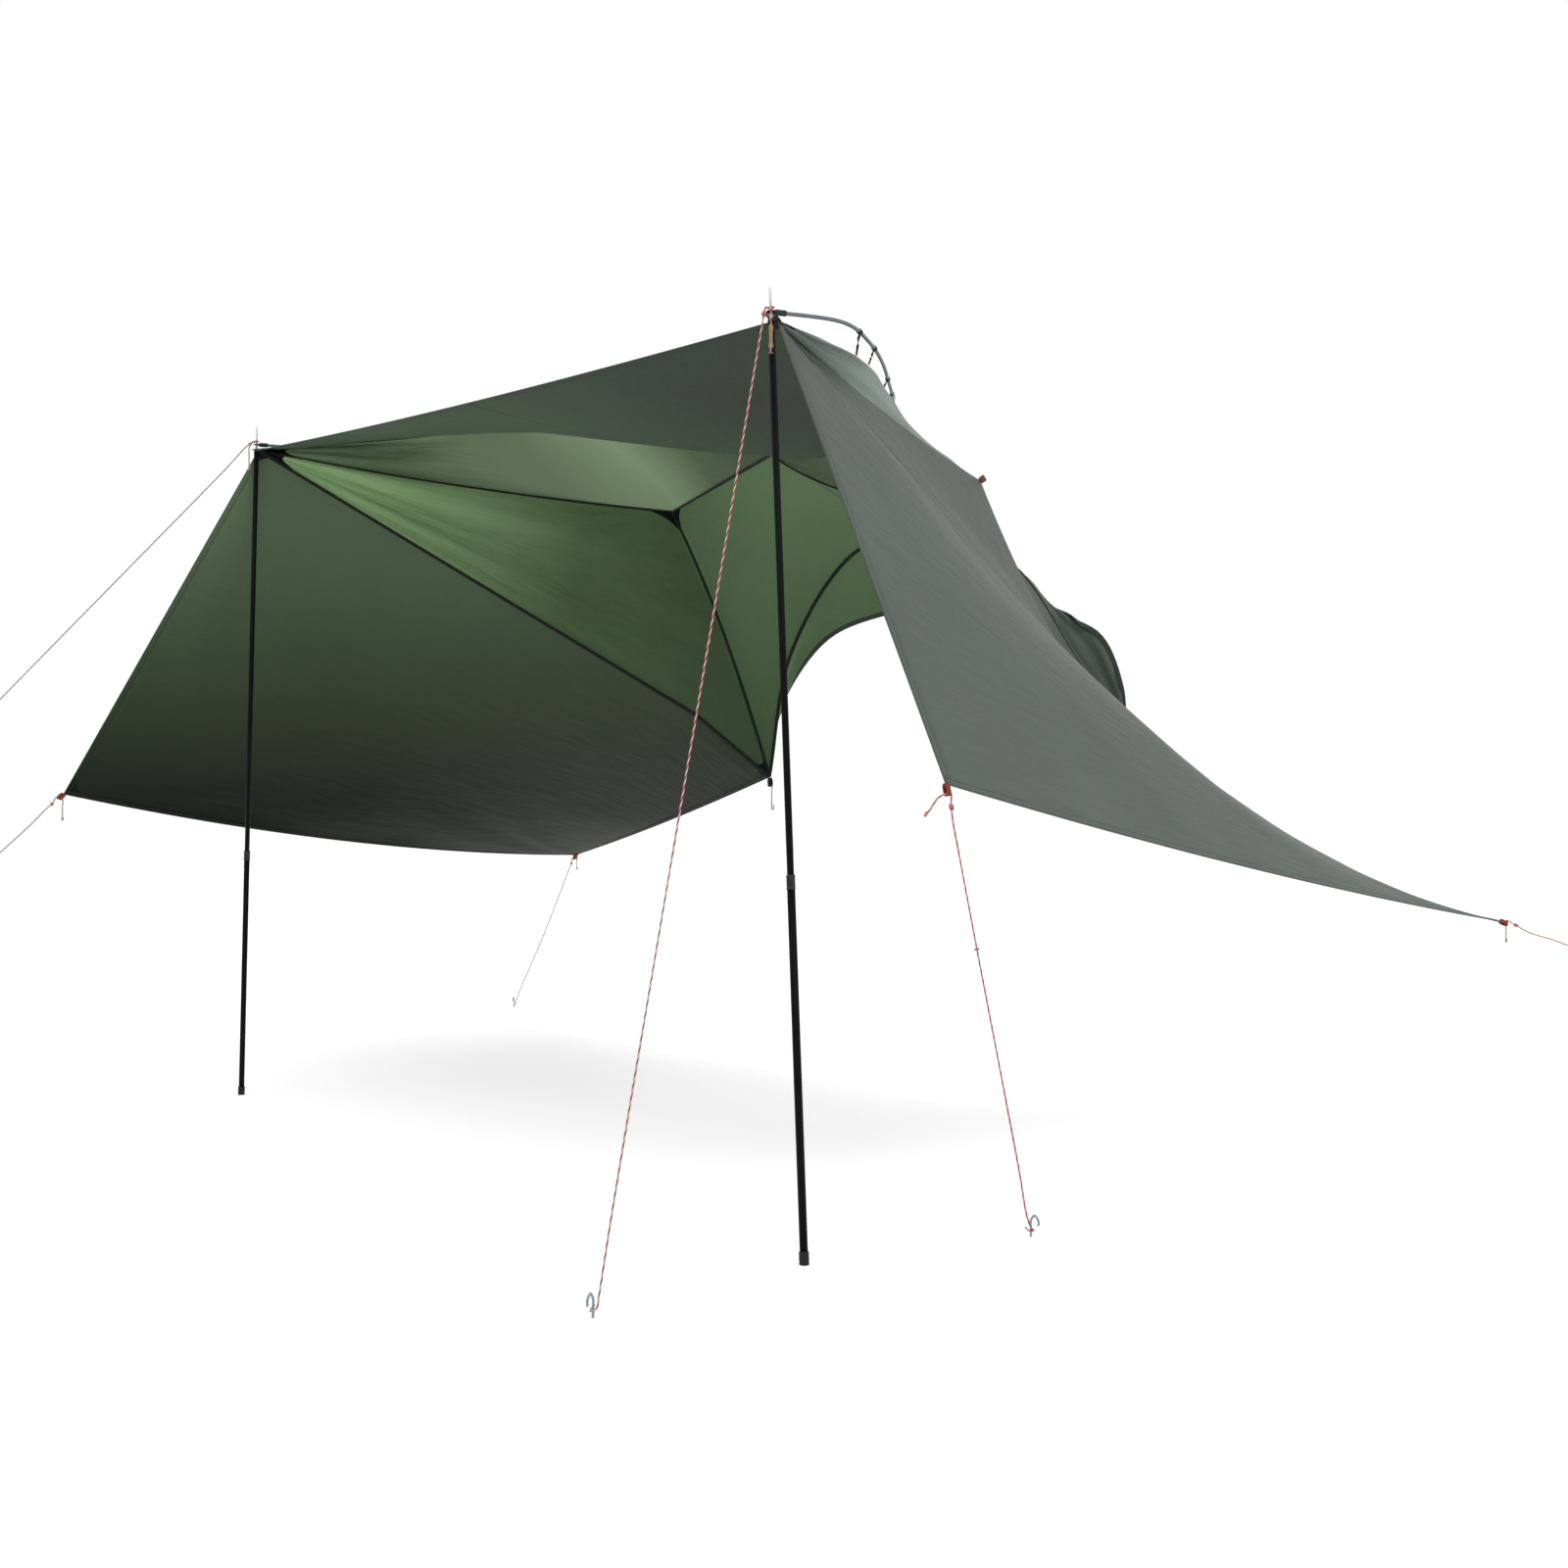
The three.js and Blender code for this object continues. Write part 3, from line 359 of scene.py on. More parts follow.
def cloth(name, code, ground_shade_code=None, roughness=0.6, painted_light_span=((0, 1),), gloss=CLOTH_GLOSS):
    """Coated polyester, woven, mottled and creased.

    Its second colour, near the ground, is painted shade; the factors of its tone at places along x are
    painted light and shade.
    """
    nodes = Nodes(bpy.data.materials.new(name))
    uv, spot = nodes.uv(), nodes.position()
    x, _, height = nodes.parts(spot)
    tone = colour(code)
    # Painted shade: the cloth is darker towards the ground
    if ground_shade_code:
        tone = nodes.ramp(height, PAINTED_SHADE_TO, PAINTED_SHADE_ENDS, colour(ground_shade_code), tone)
    # Painted light and shade: the tone is scaled by factors at places along x
    tone = nodes.product(tone, grey(painted_light_span[0][1]))
    for (first_x, first), (last_x, last) in zip(painted_light_span, painted_light_span[1:]):
        tone = nodes.product(tone, nodes.ramp(x, first_x, last_x, grey(1.0), grey(last / first)))
    broad = nodes.noise(spot, BLOTCH_SCALE, 3.0)
    fine = nodes.noise(uv, SPECK_SCALE, 2.0)
    light = nodes.ramp(broad, 0.3, 0.7, grey(0.94), (1.06, 1.06, 1.05))
    speck = nodes.ramp(fine, 0.25, 0.75, grey(0.95), grey(1.05))
    threads = nodes.bump(weave(nodes, uv, THREAD), 0.00012, 0.5)
    crease = nodes.noise(nodes.stretched(uv, (1.0, CREASE_STRETCH, 1.0)), CREASE_SCALE, 5.0, 0.55)
    return nodes.finish(
        nodes.product(tone, light, speck), nodes.spread(broad, roughness - MOTTLE, roughness + MOTTLE),
        normal=nodes.bump(crease, 0.012, 0.55, threads),
        sheen=0.0 if gloss == INSIDE_GLOSS else 0.08, specular=gloss)


def webbing(name, code, pitch=0.0022):
    """Ribbed narrow tape in a herringbone; its tone follows the ribs, painted shade in the grooves and
    painted highlight on the ribs.
    """
    nodes = Nodes(bpy.data.materials.new(name))
    uv = nodes.uv()
    across, along, _ = nodes.parts(uv)
    slanted = nodes.math("ADD", across, nodes.math("PINGPONG", along, 0.004))
    ribs = nodes.math("SINE", nodes.math("MULTIPLY", slanted, 2 * math.pi / pitch))
    fuzz = nodes.ramp(nodes.noise(uv, 900.0, 3.0), 0.3, 0.7, grey(0.85), grey(1.12))
    # Painted shade and highlight: darker in the grooves between the ribs, lighter on the ribs
    tone = nodes.ramp(ribs, -1.0, 1.0, shaded(code, 0.7), shaded(code, 1.2))
    return nodes.finish(
        nodes.product(tone, fuzz), 0.85, normal=nodes.bump(ribs, 0.0004, 0.8), sheen=0.15, specular=0.3)


def braid(name, ground, fleck, fleck_share=0.45, turns_per_metre=46.0):
    """Braided rope: strands cross both ways, and flecks of a second colour run round it."""
    nodes = Nodes(bpy.data.materials.new(name))
    uv = nodes.uv()
    around, along, _ = nodes.parts(uv)
    climb = nodes.math("MULTIPLY", along, turns_per_metre)
    twice = nodes.math("MULTIPLY", around, 2.0)
    left, right = (nodes.math("FRACT", nodes.math(way, twice, climb)) for way in ("ADD", "SUBTRACT"))
    strands = nodes.math("MULTIPLY", *(
        nodes.math("PINGPONG", nodes.math("MULTIPLY", turn, 4.0), 0.5) for turn in (left, right)))
    tone = nodes.mix(nodes.math("LESS_THAN", left, fleck_share), colour(ground), colour(fleck))
    wear = nodes.ramp(nodes.noise(uv, 40.0, 4.0), 0.3, 0.75, grey(0.82), grey(1.12))
    return nodes.finish(
        nodes.product(tone, wear), 0.8, normal=nodes.bump(strands, 0.0012, 0.9), sheen=0.1, specular=0.3)


def metal(name, code, roughness, metallic, brushed=60.0, specular=0.5):
    """Painted, drawn or polished metal with fine marks along it and a little dust."""
    nodes = Nodes(bpy.data.materials.new(name))
    lines = nodes.noise(nodes.stretched(nodes.uv(), (brushed, 2.0, 1.0)), 9.0, 4.0, 0.6)
    dust = nodes.noise(nodes.position(), 26.0, 5.0, 0.6)
    return nodes.finish(
        nodes.ramp(dust, 0.35, 0.8, shaded(code, 0.92), shaded(code, 1.25)),
        nodes.spread(lines, roughness - SCRATCH, roughness + SCRATCH),
        metallic=metallic, normal=nodes.bump(lines, 0.0001, 0.25), specular=specular)


def moulded(name, code, roughness=0.55, grain=700.0):
    """Moulded plastic or rubber with a fine grain and worn lighter spots."""
    nodes = Nodes(bpy.data.materials.new(name))
    spot = nodes.position()
    grains = nodes.noise(spot, grain, 3.0)
    worn = nodes.noise(spot, 55.0, 4.0)
    return nodes.finish(
        nodes.ramp(worn, 0.35, 0.75, shaded(code, 0.9), shaded(code, 1.35)),
        nodes.spread(worn, roughness - SCRATCH, roughness + WEAR), normal=nodes.bump(grains, 0.0002, 0.3))


# The canopy's panels are one fabric: the different tones given to the outside and inside of each panel are
# painted light and shade. So are the inner cloths' darker tones near the ground and the factors along x:
# painted light through the cloth near the left pole and in a glow on the inner strips, painted shade towards
# the right pole, and a painted highlight on the outer strips near the right pole.
MATERIAL = {
    "roof_out": cloth("roof_cloth_outside", "#626c66"),
    "strip_out": cloth("strip_cloth_outside", "#616a66", painted_light_span=((-0.9, 1.0), (-0.35, 2.2))),
    "side_out": cloth("side_cloth_outside", "#56605a"),
    "wing_out": cloth("wing_cloth_outside", "#616b65"),
    "roof_in": cloth("roof_cloth_inside", "#627360", "#556852", gloss=INSIDE_GLOSS,
                     painted_light_span=((-2.3, 1.0), (-0.9, 0.5))),
    "strip_in": cloth("strip_cloth_inside", "#9ab08d", "#7d9471", gloss=INSIDE_GLOSS,
                      painted_light_span=((-3.4, 1.8), (-2.9, 1.0), (-2.75, 0.95), (-2.44, 1.6), (-2.1, 0.66),
                            (-1.8, 0.47))),
    "rear_in": cloth("rear_cloth_inside", "#7c9870", "#4b6340", gloss=INSIDE_GLOSS,
                     painted_light_span=((-1.6, 1.0), (-0.8, 0.8))),
    "side_in": cloth("side_cloth_inside", "#7b976c", "#61785a", gloss=INSIDE_GLOSS,
                     painted_light_span=((-3.2, 2.4), (-2.7, 0.85), (-2.3, 0.72), (-1.2, 0.5))),
    "wing_in": cloth("wing_cloth_inside", "#65795c", "#151d13", gloss=INSIDE_GLOSS),
    "sleeve_out": cloth("sleeve_cloth_outside", "#5d6960"),
    "binding": webbing("seam_binding", "#14190f", 0.003),
    "elastic": webbing("elastic_hem", "#49544c", 0.004),
    "stitch": moulded("stitching_thread", "#3c453e", 0.8),
    "black_webbing": webbing("black_webbing", "#17191a"),
    "red_webbing": webbing("red_webbing", "#b23a26"),
    "brown_webbing": webbing("brown_webbing", "#9c6a58"),
    "patch": cloth("black_reinforcement", "#15191a", roughness=0.75, gloss=INSIDE_GLOSS),
    "pole": metal("pole_paint", "#080b0b", 0.5, 0.0, specular=0.08),
    "rod": metal("rod_metal", "#6d777c", 0.38, 0.7, brushed=30.0),
    "ferrule": metal("ferrule_metal", "#6a7379", 0.32, 0.85, brushed=30.0),
    "pin": metal("pin_metal", "#e4e8ea", 0.3, 0.3),
    "steel": metal("peg_steel", "#8d9296", 0.35, 0.9),
    "plastic": moulded("black_plastic", "#0f1112"),
    "rubber": moulded("foot_rubber", "#131313", 0.85, 400.0),
    "tan": moulded("runner_plastic", "#a88a63", 0.45),
    "red_plastic": moulded("hook_plastic", "#b23a26", 0.45),
    "orange": moulded("clip_end", "#b9703a", 0.5),
    "red_rope": braid("red_rope", "#c02c26", "#e8b7ae", 0.45, 38.0),
    "tan_rope": braid("tan_rope", "#b4402f", "#e9dfd6", 0.45, 34.5),
    "pale_rope": braid("pale_rope", "#8f8b82", "#d8d4cb", 0.5),
    "brown_rope": braid("brown_rope", "#8a6a52", "#d5cfc4", 0.5),
    "orange_rope": braid("orange_rope", "#b3662f", "#d9b489"),
}


# Meshes

# The radius that stands for none, and the length that stands for nought in a division
SMALLEST = 1e-5
TINY = 1e-9


def piece(name, vertices, faces, uvs=None, indices=None, materials=(), flat=False):
    """An object from plain arrays, shaded smooth, with one UV pair for each corner of each face."""
    mesh = bpy.data.meshes.new(name)
    mesh.from_pydata([tuple(v) for v in vertices], [], faces)
    for key in materials:
        mesh.materials.append(MATERIAL[key])
    if uvs is not None:
        layer = mesh.uv_layers.new(name="UVMap")
        layer.data.foreach_set("uv", np.asarray(uvs, float).ravel())
    if indices is not None:
        mesh.polygons.foreach_set("material_index", indices)
    mesh.polygons.foreach_set("use_smooth", [not flat] * len(mesh.polygons))
    mesh.update()
    obj = bpy.data.objects.new(name, mesh)
    bpy.context.scene.collection.objects.link(obj)
    return obj


def joined_piece(name, parts):
    """One object from several, which are used up."""
    bpy.ops.object.select_all(action="DESELECT")
    for part in parts:
        part.select_set(True)
    bpy.context.view_layer.objects.active = parts[0]
    bpy.ops.object.join()
    parts[0].name = name
    parts[0].data.name = name
    return parts[0]


def frames_along(line, first_normal=None):
    """Tangents and two cross directions that turn as little as they can along a line."""
    line = np.asarray(line, float)
    tangents = unit(np.gradient(line, axis=0))
    normal = np.asarray(first_normal if first_normal is not None else UP, float)
    if abs(np.dot(unit(normal), tangents[0])) > 0.95:
        normal = np.array([1.0, 0.0, 0.0])
    normals = []
    for tangent in tangents:
        normal = unit(normal - np.dot(normal, tangent) * tangent)
        normals.append(normal)
    normals = np.array(normals)
    return tangents, np.cross(tangents, normals), normals


def steps_of(line):
    return np.linalg.norm(np.diff(line, axis=0), axis=1)


def length_of(line):
    return float(steps_of(line).sum())


def reach_of(line):
    """The length of a line up to each of its points."""
    return np.concatenate([[0], np.cumsum(steps_of(line))])


def ring_faces(rings, corners, closed=False):
    """Faces between rings of vertices and their neighbours; closed also joins the last to the first."""
    faces = []
    for i in range(rings if closed else rings - 1):
        n = (i + 1) % rings
        for j in range(corners):
            k = (j + 1) % corners
            faces.append((i * corners + j, i * corners + k, n * corners + k, n * corners + j))
    return faces


def ring_uvs(corners, along):
    """For each corner of those faces, its share of the way round and its length along."""
    around = np.arange(corners + 1) / corners
    return [(around[j + a], along[i + b]) for i in range(len(along) - 1) for j in range(corners)
            for a, b in ((0, 0), (1, 0), (1, 1), (0, 1))]


def sweep(name, line, sides, ups, profile, material, size=None, close_ends=True, indices=None):
    """Carries an outline of (side, up) pairs along a line; size scales it at each point."""
    line = np.asarray(line, float)
    profile = np.asarray(profile, float)
    size = np.ones(len(line)) if size is None else np.asarray(size, float)
    count, corners = len(line), len(profile)
    offsets = profile[None, :, :1] * sides[:, None] + profile[None, :, 1:] * ups[:, None]
    vertices = (line[:, None] + size[:, None, None] * offsets).reshape(-1, 3)
    along = reach_of(line)
    faces, uvs = ring_faces(count, corners), ring_uvs(corners, along)
    slots = (indices or [0] * corners) * (count - 1)
    if close_ends:
        for ring, turn in ((0, -1), (count - 1, 1)):
            faces.append(tuple(ring * corners + j for j in range(corners))[::turn])
            uvs += [(0.5, along[ring])] * corners
            slots.append(0)
    keys = material if isinstance(material, (list, tuple)) else [material]
    return piece(name, vertices, faces, uvs, slots, keys)


def circle(radius, sides):
    turns = np.arange(sides) * 2 * math.pi / sides
    return np.stack([np.cos(turns), np.sin(turns)], axis=-1) * radius


def tube(name, line, radius, material, sides=16, size=None):
    _, across, normals = frames_along(line)
    return sweep(name, line, across, normals, circle(radius, sides), material, size)


def turned(name, origin, axis, profile, material, sides=40):
    """A lathed piece about a leaning axis, from pairs of radius and height; it may be open or closed."""
    axis = unit(axis)
    side = unit(np.cross(axis, [0.0, 1.0, 0.0]))
    ring = circle(1.0, sides)
    ring = ring[:, :1] * side + ring[:, 1:] * np.cross(axis, side)
    vertices = [origin + axis * height + ring * max(radius, SMALLEST) for radius, height in profile]
    uvs = ring_uvs(sides, reach_of(np.array(profile)))
    obj = piece(name, np.concatenate(vertices), ring_faces(len(profile), sides), uvs, materials=[material])
    tidy_mesh(obj)
    return obj


def hollow(inner, outer, low, high):
    """The closed outline that turned() makes a tube of."""
    return [(inner, low), (outer, low), (outer, high), (inner, high), (inner, low)]


def ring_plate(centre, axes, inner, outer, thickness, material, flat=False):
    """A plate between an inner and an outer outline; axes are its two directions and its normal."""
    first, second, normal = axes
    rings = [(inner, -1), (outer, -1), (outer, 1), (inner, 1)]
    vertices = [
        centre + outline[:, :1] * first + outline[:, 1:] * second + normal * level * thickness / 2
        for outline, level in rings
    ]
    faces = ring_faces(len(rings), len(inner), closed=True)
    uvs = np.concatenate([outline for outline, _ in rings])[np.array(faces)]
    return piece("plate", np.concatenate(vertices), faces, uvs, materials=[material], flat=flat)


def tidy_mesh(obj, weld=2e-5, outward=True):
    """Welds what coincides and turns the faces outward."""
    mesh = bmesh.new()
    mesh.from_mesh(obj.data)
    bmesh.ops.remove_doubles(mesh, verts=mesh.verts, dist=weld)
    if outward:
        bmesh.ops.recalc_face_normals(mesh, faces=mesh.faces)
    mesh.to_mesh(obj.data)
    mesh.free()


def bevelled(obj, width, segments=2, angle=0.6):
    """Rounds a piece's corners and keeps its flats flat."""
    modifier = obj.modifiers.new("bevel", "BEVEL")
    modifier.width = width
    modifier.segments = segments
    modifier.angle_limit = angle
    modifier.harden_normals = False
    return applied(obj)


def applied(obj):
    depsgraph = bpy.context.evaluated_depsgraph_get()
    mesh = bpy.data.meshes.new_from_object(obj.evaluated_get(depsgraph))
    obj.modifiers.clear()
    obj.data = mesh
    return obj


def settle(obj, nodes=(), body="root", follow=None):
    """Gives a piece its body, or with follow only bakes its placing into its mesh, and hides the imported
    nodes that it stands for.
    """
    if follow:
        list(FOLLOW[follow])
        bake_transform(obj)
    else:
        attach(obj, body)
    if nodes:
        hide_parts(*nodes)
    return obj


# Curves and surfaces


def spline(points, steps=24):
    """A dense centripetal Catmull-Rom line through the points."""
    points = [np.asarray(p, float) for p in points]
    ends = [2 * points[0] - points[1], *points, 2 * points[-1] - points[-2]]
    line = []
    for p0, p1, p2, p3 in zip(ends, ends[1:], ends[2:], ends[3:]):
        d0, d1, d2 = (np.linalg.norm(b - a) ** 0.5 for a, b in ((p0, p1), (p1, p2), (p2, p3)))
        t1 = ((p1 - p0) / d0 - (p2 - p0) / (d0 + d1) + (p2 - p1) / d1) * d1
        t2 = ((p2 - p1) / d1 - (p3 - p1) / (d1 + d2) + (p3 - p2) / d2) * d1
        square, cube = 3 * (p2 - p1) - 2 * t1 - t2, 2 * (p1 - p2) + t1 + t2
        for t in np.arange(steps) / steps:
            line.append(p1 + t1 * t + square * t ** 2 + cube * t ** 3)
    line.append(points[-1])
    return np.array(line)


def by_length(line):
    """A function of the share of a line's length."""
    reach = reach_of(line)

    def edge(t):
        spot = np.asarray(t) * reach[-1]
        return np.stack([np.interp(spot, reach, line[:, axis]) for axis in range(3)], axis=-1)

    return edge


def dropped(start, end, drop=0.0):
    def edge(t):
        t = np.asarray(t, float)[..., None]
        return start + (end - start) * t - UP * 4 * t * (1 - t) * drop

    return edge


def followed(first, second, share):
    """One edge after another, which meet at a share of the whole."""
    def edge(t):
        t = np.asarray(t, float)
        early = first(np.clip(t / share, 0, 1))
        late = second(np.clip((t - share) / (1 - share), 0, 1))
        return np.where((t < share)[..., None], early, late)

    return edge


def reversed_edge(edge):
    return lambda t: edge(1 - np.asarray(t, float))


# Where along a diagonal its kink is, and where along a strip's seam its roof part ends
KINK = 0.8
ROOF_SEAM_SHARE = 0.625
EDGE = {name: dropped(AT[start], AT[end], drop) for name, (start, end, drop) in HUNG_EDGES.items()}
for name, (start, end, between) in BOWED_EDGES.items():
    EDGE[name] = by_length(spline([AT[start], *map(place, between), AT[end]]))
for side in ("left", "right"):
    top, kink, back = (AT[name] for name in (f"{side}_top", f"kink_{side}", f"back_{side}"))
    EDGE[f"diagonal_{side}"] = followed(dropped(top, kink), dropped(kink, back), KINK)
EDGE["crest"] = followed(EDGE["crest_left"], EDGE["crest_right"], 0.5)
EDGE["left_strip_seam"] = followed(EDGE["roof_seam_left"], EDGE["rear_seam_left"], ROOF_SEAM_SHARE)
EDGE["right_strip_seam"] = followed(EDGE["rear_seam_right"], EDGE["roof_seam_right"], 1 - ROOF_SEAM_SHARE)
EDGE["rear_seam"] = followed(EDGE["rear_seam_left"], EDGE["rear_seam_right"], 0.5)
EDGE["roof_seam_right_back"] = reversed_edge(EDGE["roof_seam_right"])


def outward_of(*corners):
    """The direction out of the tent, square to the plane of three corners."""
    a, b, c = (AT[name] for name in corners)
    normal = unit(np.cross(b - a, c - a))
    return normal if np.dot(normal, a - INSIDE) > 0 else -normal


def lens(lower, upper, sag):
    """Cloth between two edges that meet at both ends."""
    def surface(u, v):
        low, high = EDGE[lower](u), EDGE[upper](u)
        u, v = u[..., None], v[..., None]
        swell = np.sin(math.pi * u) ** 2 * np.sin(math.pi * v)
        return low + (high - low) * v - UP * sag * swell

    return surface


def filled(near, far, start, finish, bulge, corners):
    """Cloth spanned by four edges; start may be a point. Three of its corners say which way it bulges."""
    outward = outward_of(*corners)
    pointed = isinstance(start, np.ndarray)
    origin = (lambda v: np.broadcast_to(start, (*v.shape, 3))) if pointed else EDGE[start]
    n, f, s, e = EDGE[near], EDGE[far], origin, EDGE[finish]

    def surface(u, v):
        ends = np.zeros_like(u), np.ones_like(u)
        first, last = (x[..., None] for x in (u, v))
        point = n(u) * (1 - last) + f(u) * last + s(v) * (1 - first) + e(v) * first
        point = point - n(ends[0]) * (1 - first) * (1 - last) - n(ends[1]) * first * (1 - last)
        point = point - f(ends[0]) * (1 - first) * last - f(ends[1]) * first * last
        swell = np.sin(math.pi * first) ** 2 * np.sin(math.pi * last) ** 2
        return point + outward * bulge * swell

    return surface


def normals_of(surface, u, v, step=1e-3):
    """Outward directions of a surface at arrays of its own coordinates."""
    low_u, high_u = np.clip(u - step, 0, 1), np.clip(u + step, 0, 1)
    low_v, high_v = np.clip(v - step, 0, 1), np.clip(v + step, 0, 1)
    across = surface(high_u, v) - surface(low_u, v)
    along = surface(u, high_v) - surface(u, low_v)
    normal = unit(np.cross(across, along))
    centre = np.array(0.5)
    middle = surface(centre, centre) - INSIDE
    reference = np.cross(
        surface(centre + step, centre) - surface(centre, centre),
        surface(centre, centre + step) - surface(centre, centre))
    return normal if np.dot(reference, middle) > 0 else -normal


# The share of a panel, from its edge, over which its folds and waves rise from nothing
RIM_SHARE = 0.05


def rippled(surface, folds, waves, rim_share=RIM_SHARE):
    """Adds pulled folds that fan out from a corner, and soft waves, and leaves the rim where it is."""
    def moved(u, v):
        point = surface(u, v)
        normal = normals_of(surface, u, v)
        rim = smooth(np.minimum(u, 1 - u) / RIM_SHARE) * smooth(np.minimum(v, 1 - v) / rim_share)
        lift = np.zeros(u.shape)
        for corner, toward, spread, count, height, near, far, phase in folds:
            way = unit(AT[toward] - AT[corner]) if isinstance(toward, str) else unit(toward)
            ray = point - AT[corner]
            reach = np.linalg.norm(ray, axis=-1)
            turn = np.arctan2((np.cross(way, ray) * normal).sum(-1), (ray * way).sum(-1))
            fan = np.clip(1 - np.abs(turn) / spread, 0, 1) ** 0.8
            body = smooth(reach / near) * (1 - smooth((reach - near) / (far - near)))
            lift += height * fan * body * np.cos(count * turn + phase)
        for scale_u, scale_v, height, seed in waves:
            spots = np.stack([u * scale_u, v * scale_v, np.full(u.shape, seed)], axis=-1).reshape(-1, 3)
            values = np.array([noise.noise(Vector(s)) for s in spots]).reshape(u.shape)
            lift += height * values
        return point + normal * (lift * rim)[..., None]

    return moved


# Panels between two edges, with their sag, and panels between four edges, with their bulge
PANEL = {
    "roof_centre_panel": lens("front_hem", "crest", 0.045),
    "roof_left_panel": lens("left_strip_seam", "crest_left", -0.010),
    "roof_right_panel": lens("right_strip_seam", "crest_right", -0.010),
    "side_left_panel": filled("roof_seam_left", "diagonal_left", AT["left_top"], "side_seam_left", 0.030,
                              ("left_top", "crown_left", "back_left")),
    "side_right_panel": filled("roof_seam_right_back", "diagonal_right", AT["right_top"], "side_seam_right",
                               0.012, ("right_top", "crown_right", "back_right")),
    "wing_left": filled("diagonal_left", "hem_left", "door_left", "back_hem_left", 0.045,
                        ("left_top", "front_left", "back_left")),
    "wing_right": filled("diagonal_right", "hem_right", "door_right", "back_hem_right", 0.030,
                         ("right_top", "front_right", "back_right")),
    "rear_panel": filled("rear_seam", "arch", "side_seam_left", "side_seam_right", 0.0,
                         ("crown_left", "crown_right", "back_left")),
    "tunnel_sleeve": lens("arch", "sleeve_hem", -0.025),
}
# Each fan of folds: corner, direction, spread, count, height, where it is highest, where it ends, phase
FOLDS = {
    "roof_centre_panel": [("left_top", "crown_mid", 0.5, 26, 0.004, 0.35, 1.5, 0.0),
                          ("right_top", "crown_mid", 0.5, 26, 0.004, 0.3, 1.3, 0.8)],
    "roof_left_panel": [("left_top", "crown_left", 0.5, 30, 0.005, 0.4, 1.7, 0.4),
                        ("crown_left", "left_top", 0.7, 18, 0.005, 0.2, 0.8, 0.0)],
    "roof_right_panel": [("right_top", "crown_right", 0.8, 16, 0.006, 0.14, 0.42, 0.6),
                         ("crown_right", "right_top", 0.8, 16, 0.003, 0.2, 0.6, 0.2)],
    "side_left_panel": [("left_top", "crown_left", 0.5, 34, 0.005, 0.7, 2.2, 0.0),
                        ("crown_left", "left_top", 0.6, 20, 0.004, 0.25, 0.9, 1.0)],
    "side_right_panel": [("right_top", "crown_right", 0.6, 20, 0.006, 0.14, 0.45, 0.3),
                         ("crown_right", "back_right", 0.7, 14, 0.003, 0.15, 0.5, 0.8)],
    "wing_left": [("left_top", "front_left", 0.9, 16, 0.006, 0.5, 1.6, 0.0),
                  ("wing_left", "left_top", 0.5, 18, 0.006, 0.5, 2.2, 0.5),
                  ("front_left", "wing_left", 0.5, 20, 0.005, 0.4, 1.8, 0.3)],
    "wing_right": [("right_top", "front_right", 0.6, 20, 0.003, 0.2, 0.7, 0.9),
                   ("front_right", "wing_right", 0.6, 16, 0.004, 0.3, 1.0, 0.0),
                   ("wing_right", "front_right", 0.4, 18, 0.003, 0.5, 2.0, 0.4)],
    "rear_panel": [("crown_left", "back_right", 0.6, 14, 0.004, 0.2, 0.7, 0.0)],
}
# Each set of soft waves: how many across and along the panel, height, and seed
WAVES = {
    "roof_centre_panel": [(9.0, 2.0, 0.010, 1.3), (22.0, 4.0, 0.003, 4.1)],
    "roof_left_panel": [(8.0, 2.0, 0.006, 2.2)],
    "roof_right_panel": [(10.0, 2.5, 0.008, 5.7)],
    "side_left_panel": [(3.0, 7.0, 0.006, 7.4)],
    "side_right_panel": [(4.0, 5.0, 0.004, 8.9)],
    "wing_left": [(5.0, 3.0, 0.012, 3.3), (14.0, 4.0, 0.003, 6.6)],
    "wing_right": [(6.0, 2.5, 0.008, 9.1), (16.0, 7.0, 0.002, 2.9)],
    "rear_panel": [(5.0, 3.0, 0.010, 11.2)],
    "tunnel_sleeve": [(22.0, 2.0, 0.016, 12.4), (40.0, 3.0, 0.006, 13.8)],
}
# The sleeve lies flat where its elastic hem is sewn on
SLEEVE_RIM = 0.45
SURFACE = {
    name: rippled(
        surface, FOLDS.get(name, ()), WAVES[name], SLEEVE_RIM if name == "tunnel_sleeve" else RIM_SHARE)
    for name, surface in PANEL.items()
}

# For each side of the canopy, the first and the second point of the stretch over which it would follow its
# pole top more and more; nothing in the script makes it follow
FOLLOW = {
    "right": ((-0.797, 0.538, 1.939), tuple(AT["right_top"])),
    "left": ((-3.035, 0.093, 1.937), tuple(AT["left_top"])),
}


# Canopy

CROWN_STEPS = 60
REAR_STEPS = 36
ROOF_STEPS = CROWN_STEPS + REAR_STEPS
SEAM_STEPS = 48
HEM_STEPS = 72
ROOF_ROWS = 30
STRIP_ROWS = 14
SLEEVE_ROWS = 16
# How near the edges of neighbouring panels have to be to become one seam
SEAM_WELD = 2e-4
# For each panel: rows, then its outer and inner cloth
DRESS = {
    "roof_centre_panel": (ROOF_ROWS, "roof_out", "roof_in"),
    "roof_left_panel": (STRIP_ROWS, "strip_out", "strip_in"),
    "roof_right_panel": (STRIP_ROWS, "strip_out", "strip_in"),
    "side_left_panel": (SEAM_STEPS, "side_out", "side_in"),
    "side_right_panel": (SEAM_STEPS, "side_out", "side_in"),
    "wing_left": (HEM_STEPS, "wing_out", "wing_in"),
    "wing_right": (HEM_STEPS, "wing_out", "wing_in"),
    "rear_panel": (SEAM_STEPS, "wing_out", "rear_in"),
    "tunnel_sleeve": (SLEEVE_ROWS, "sleeve_out", "rear_in"),
}


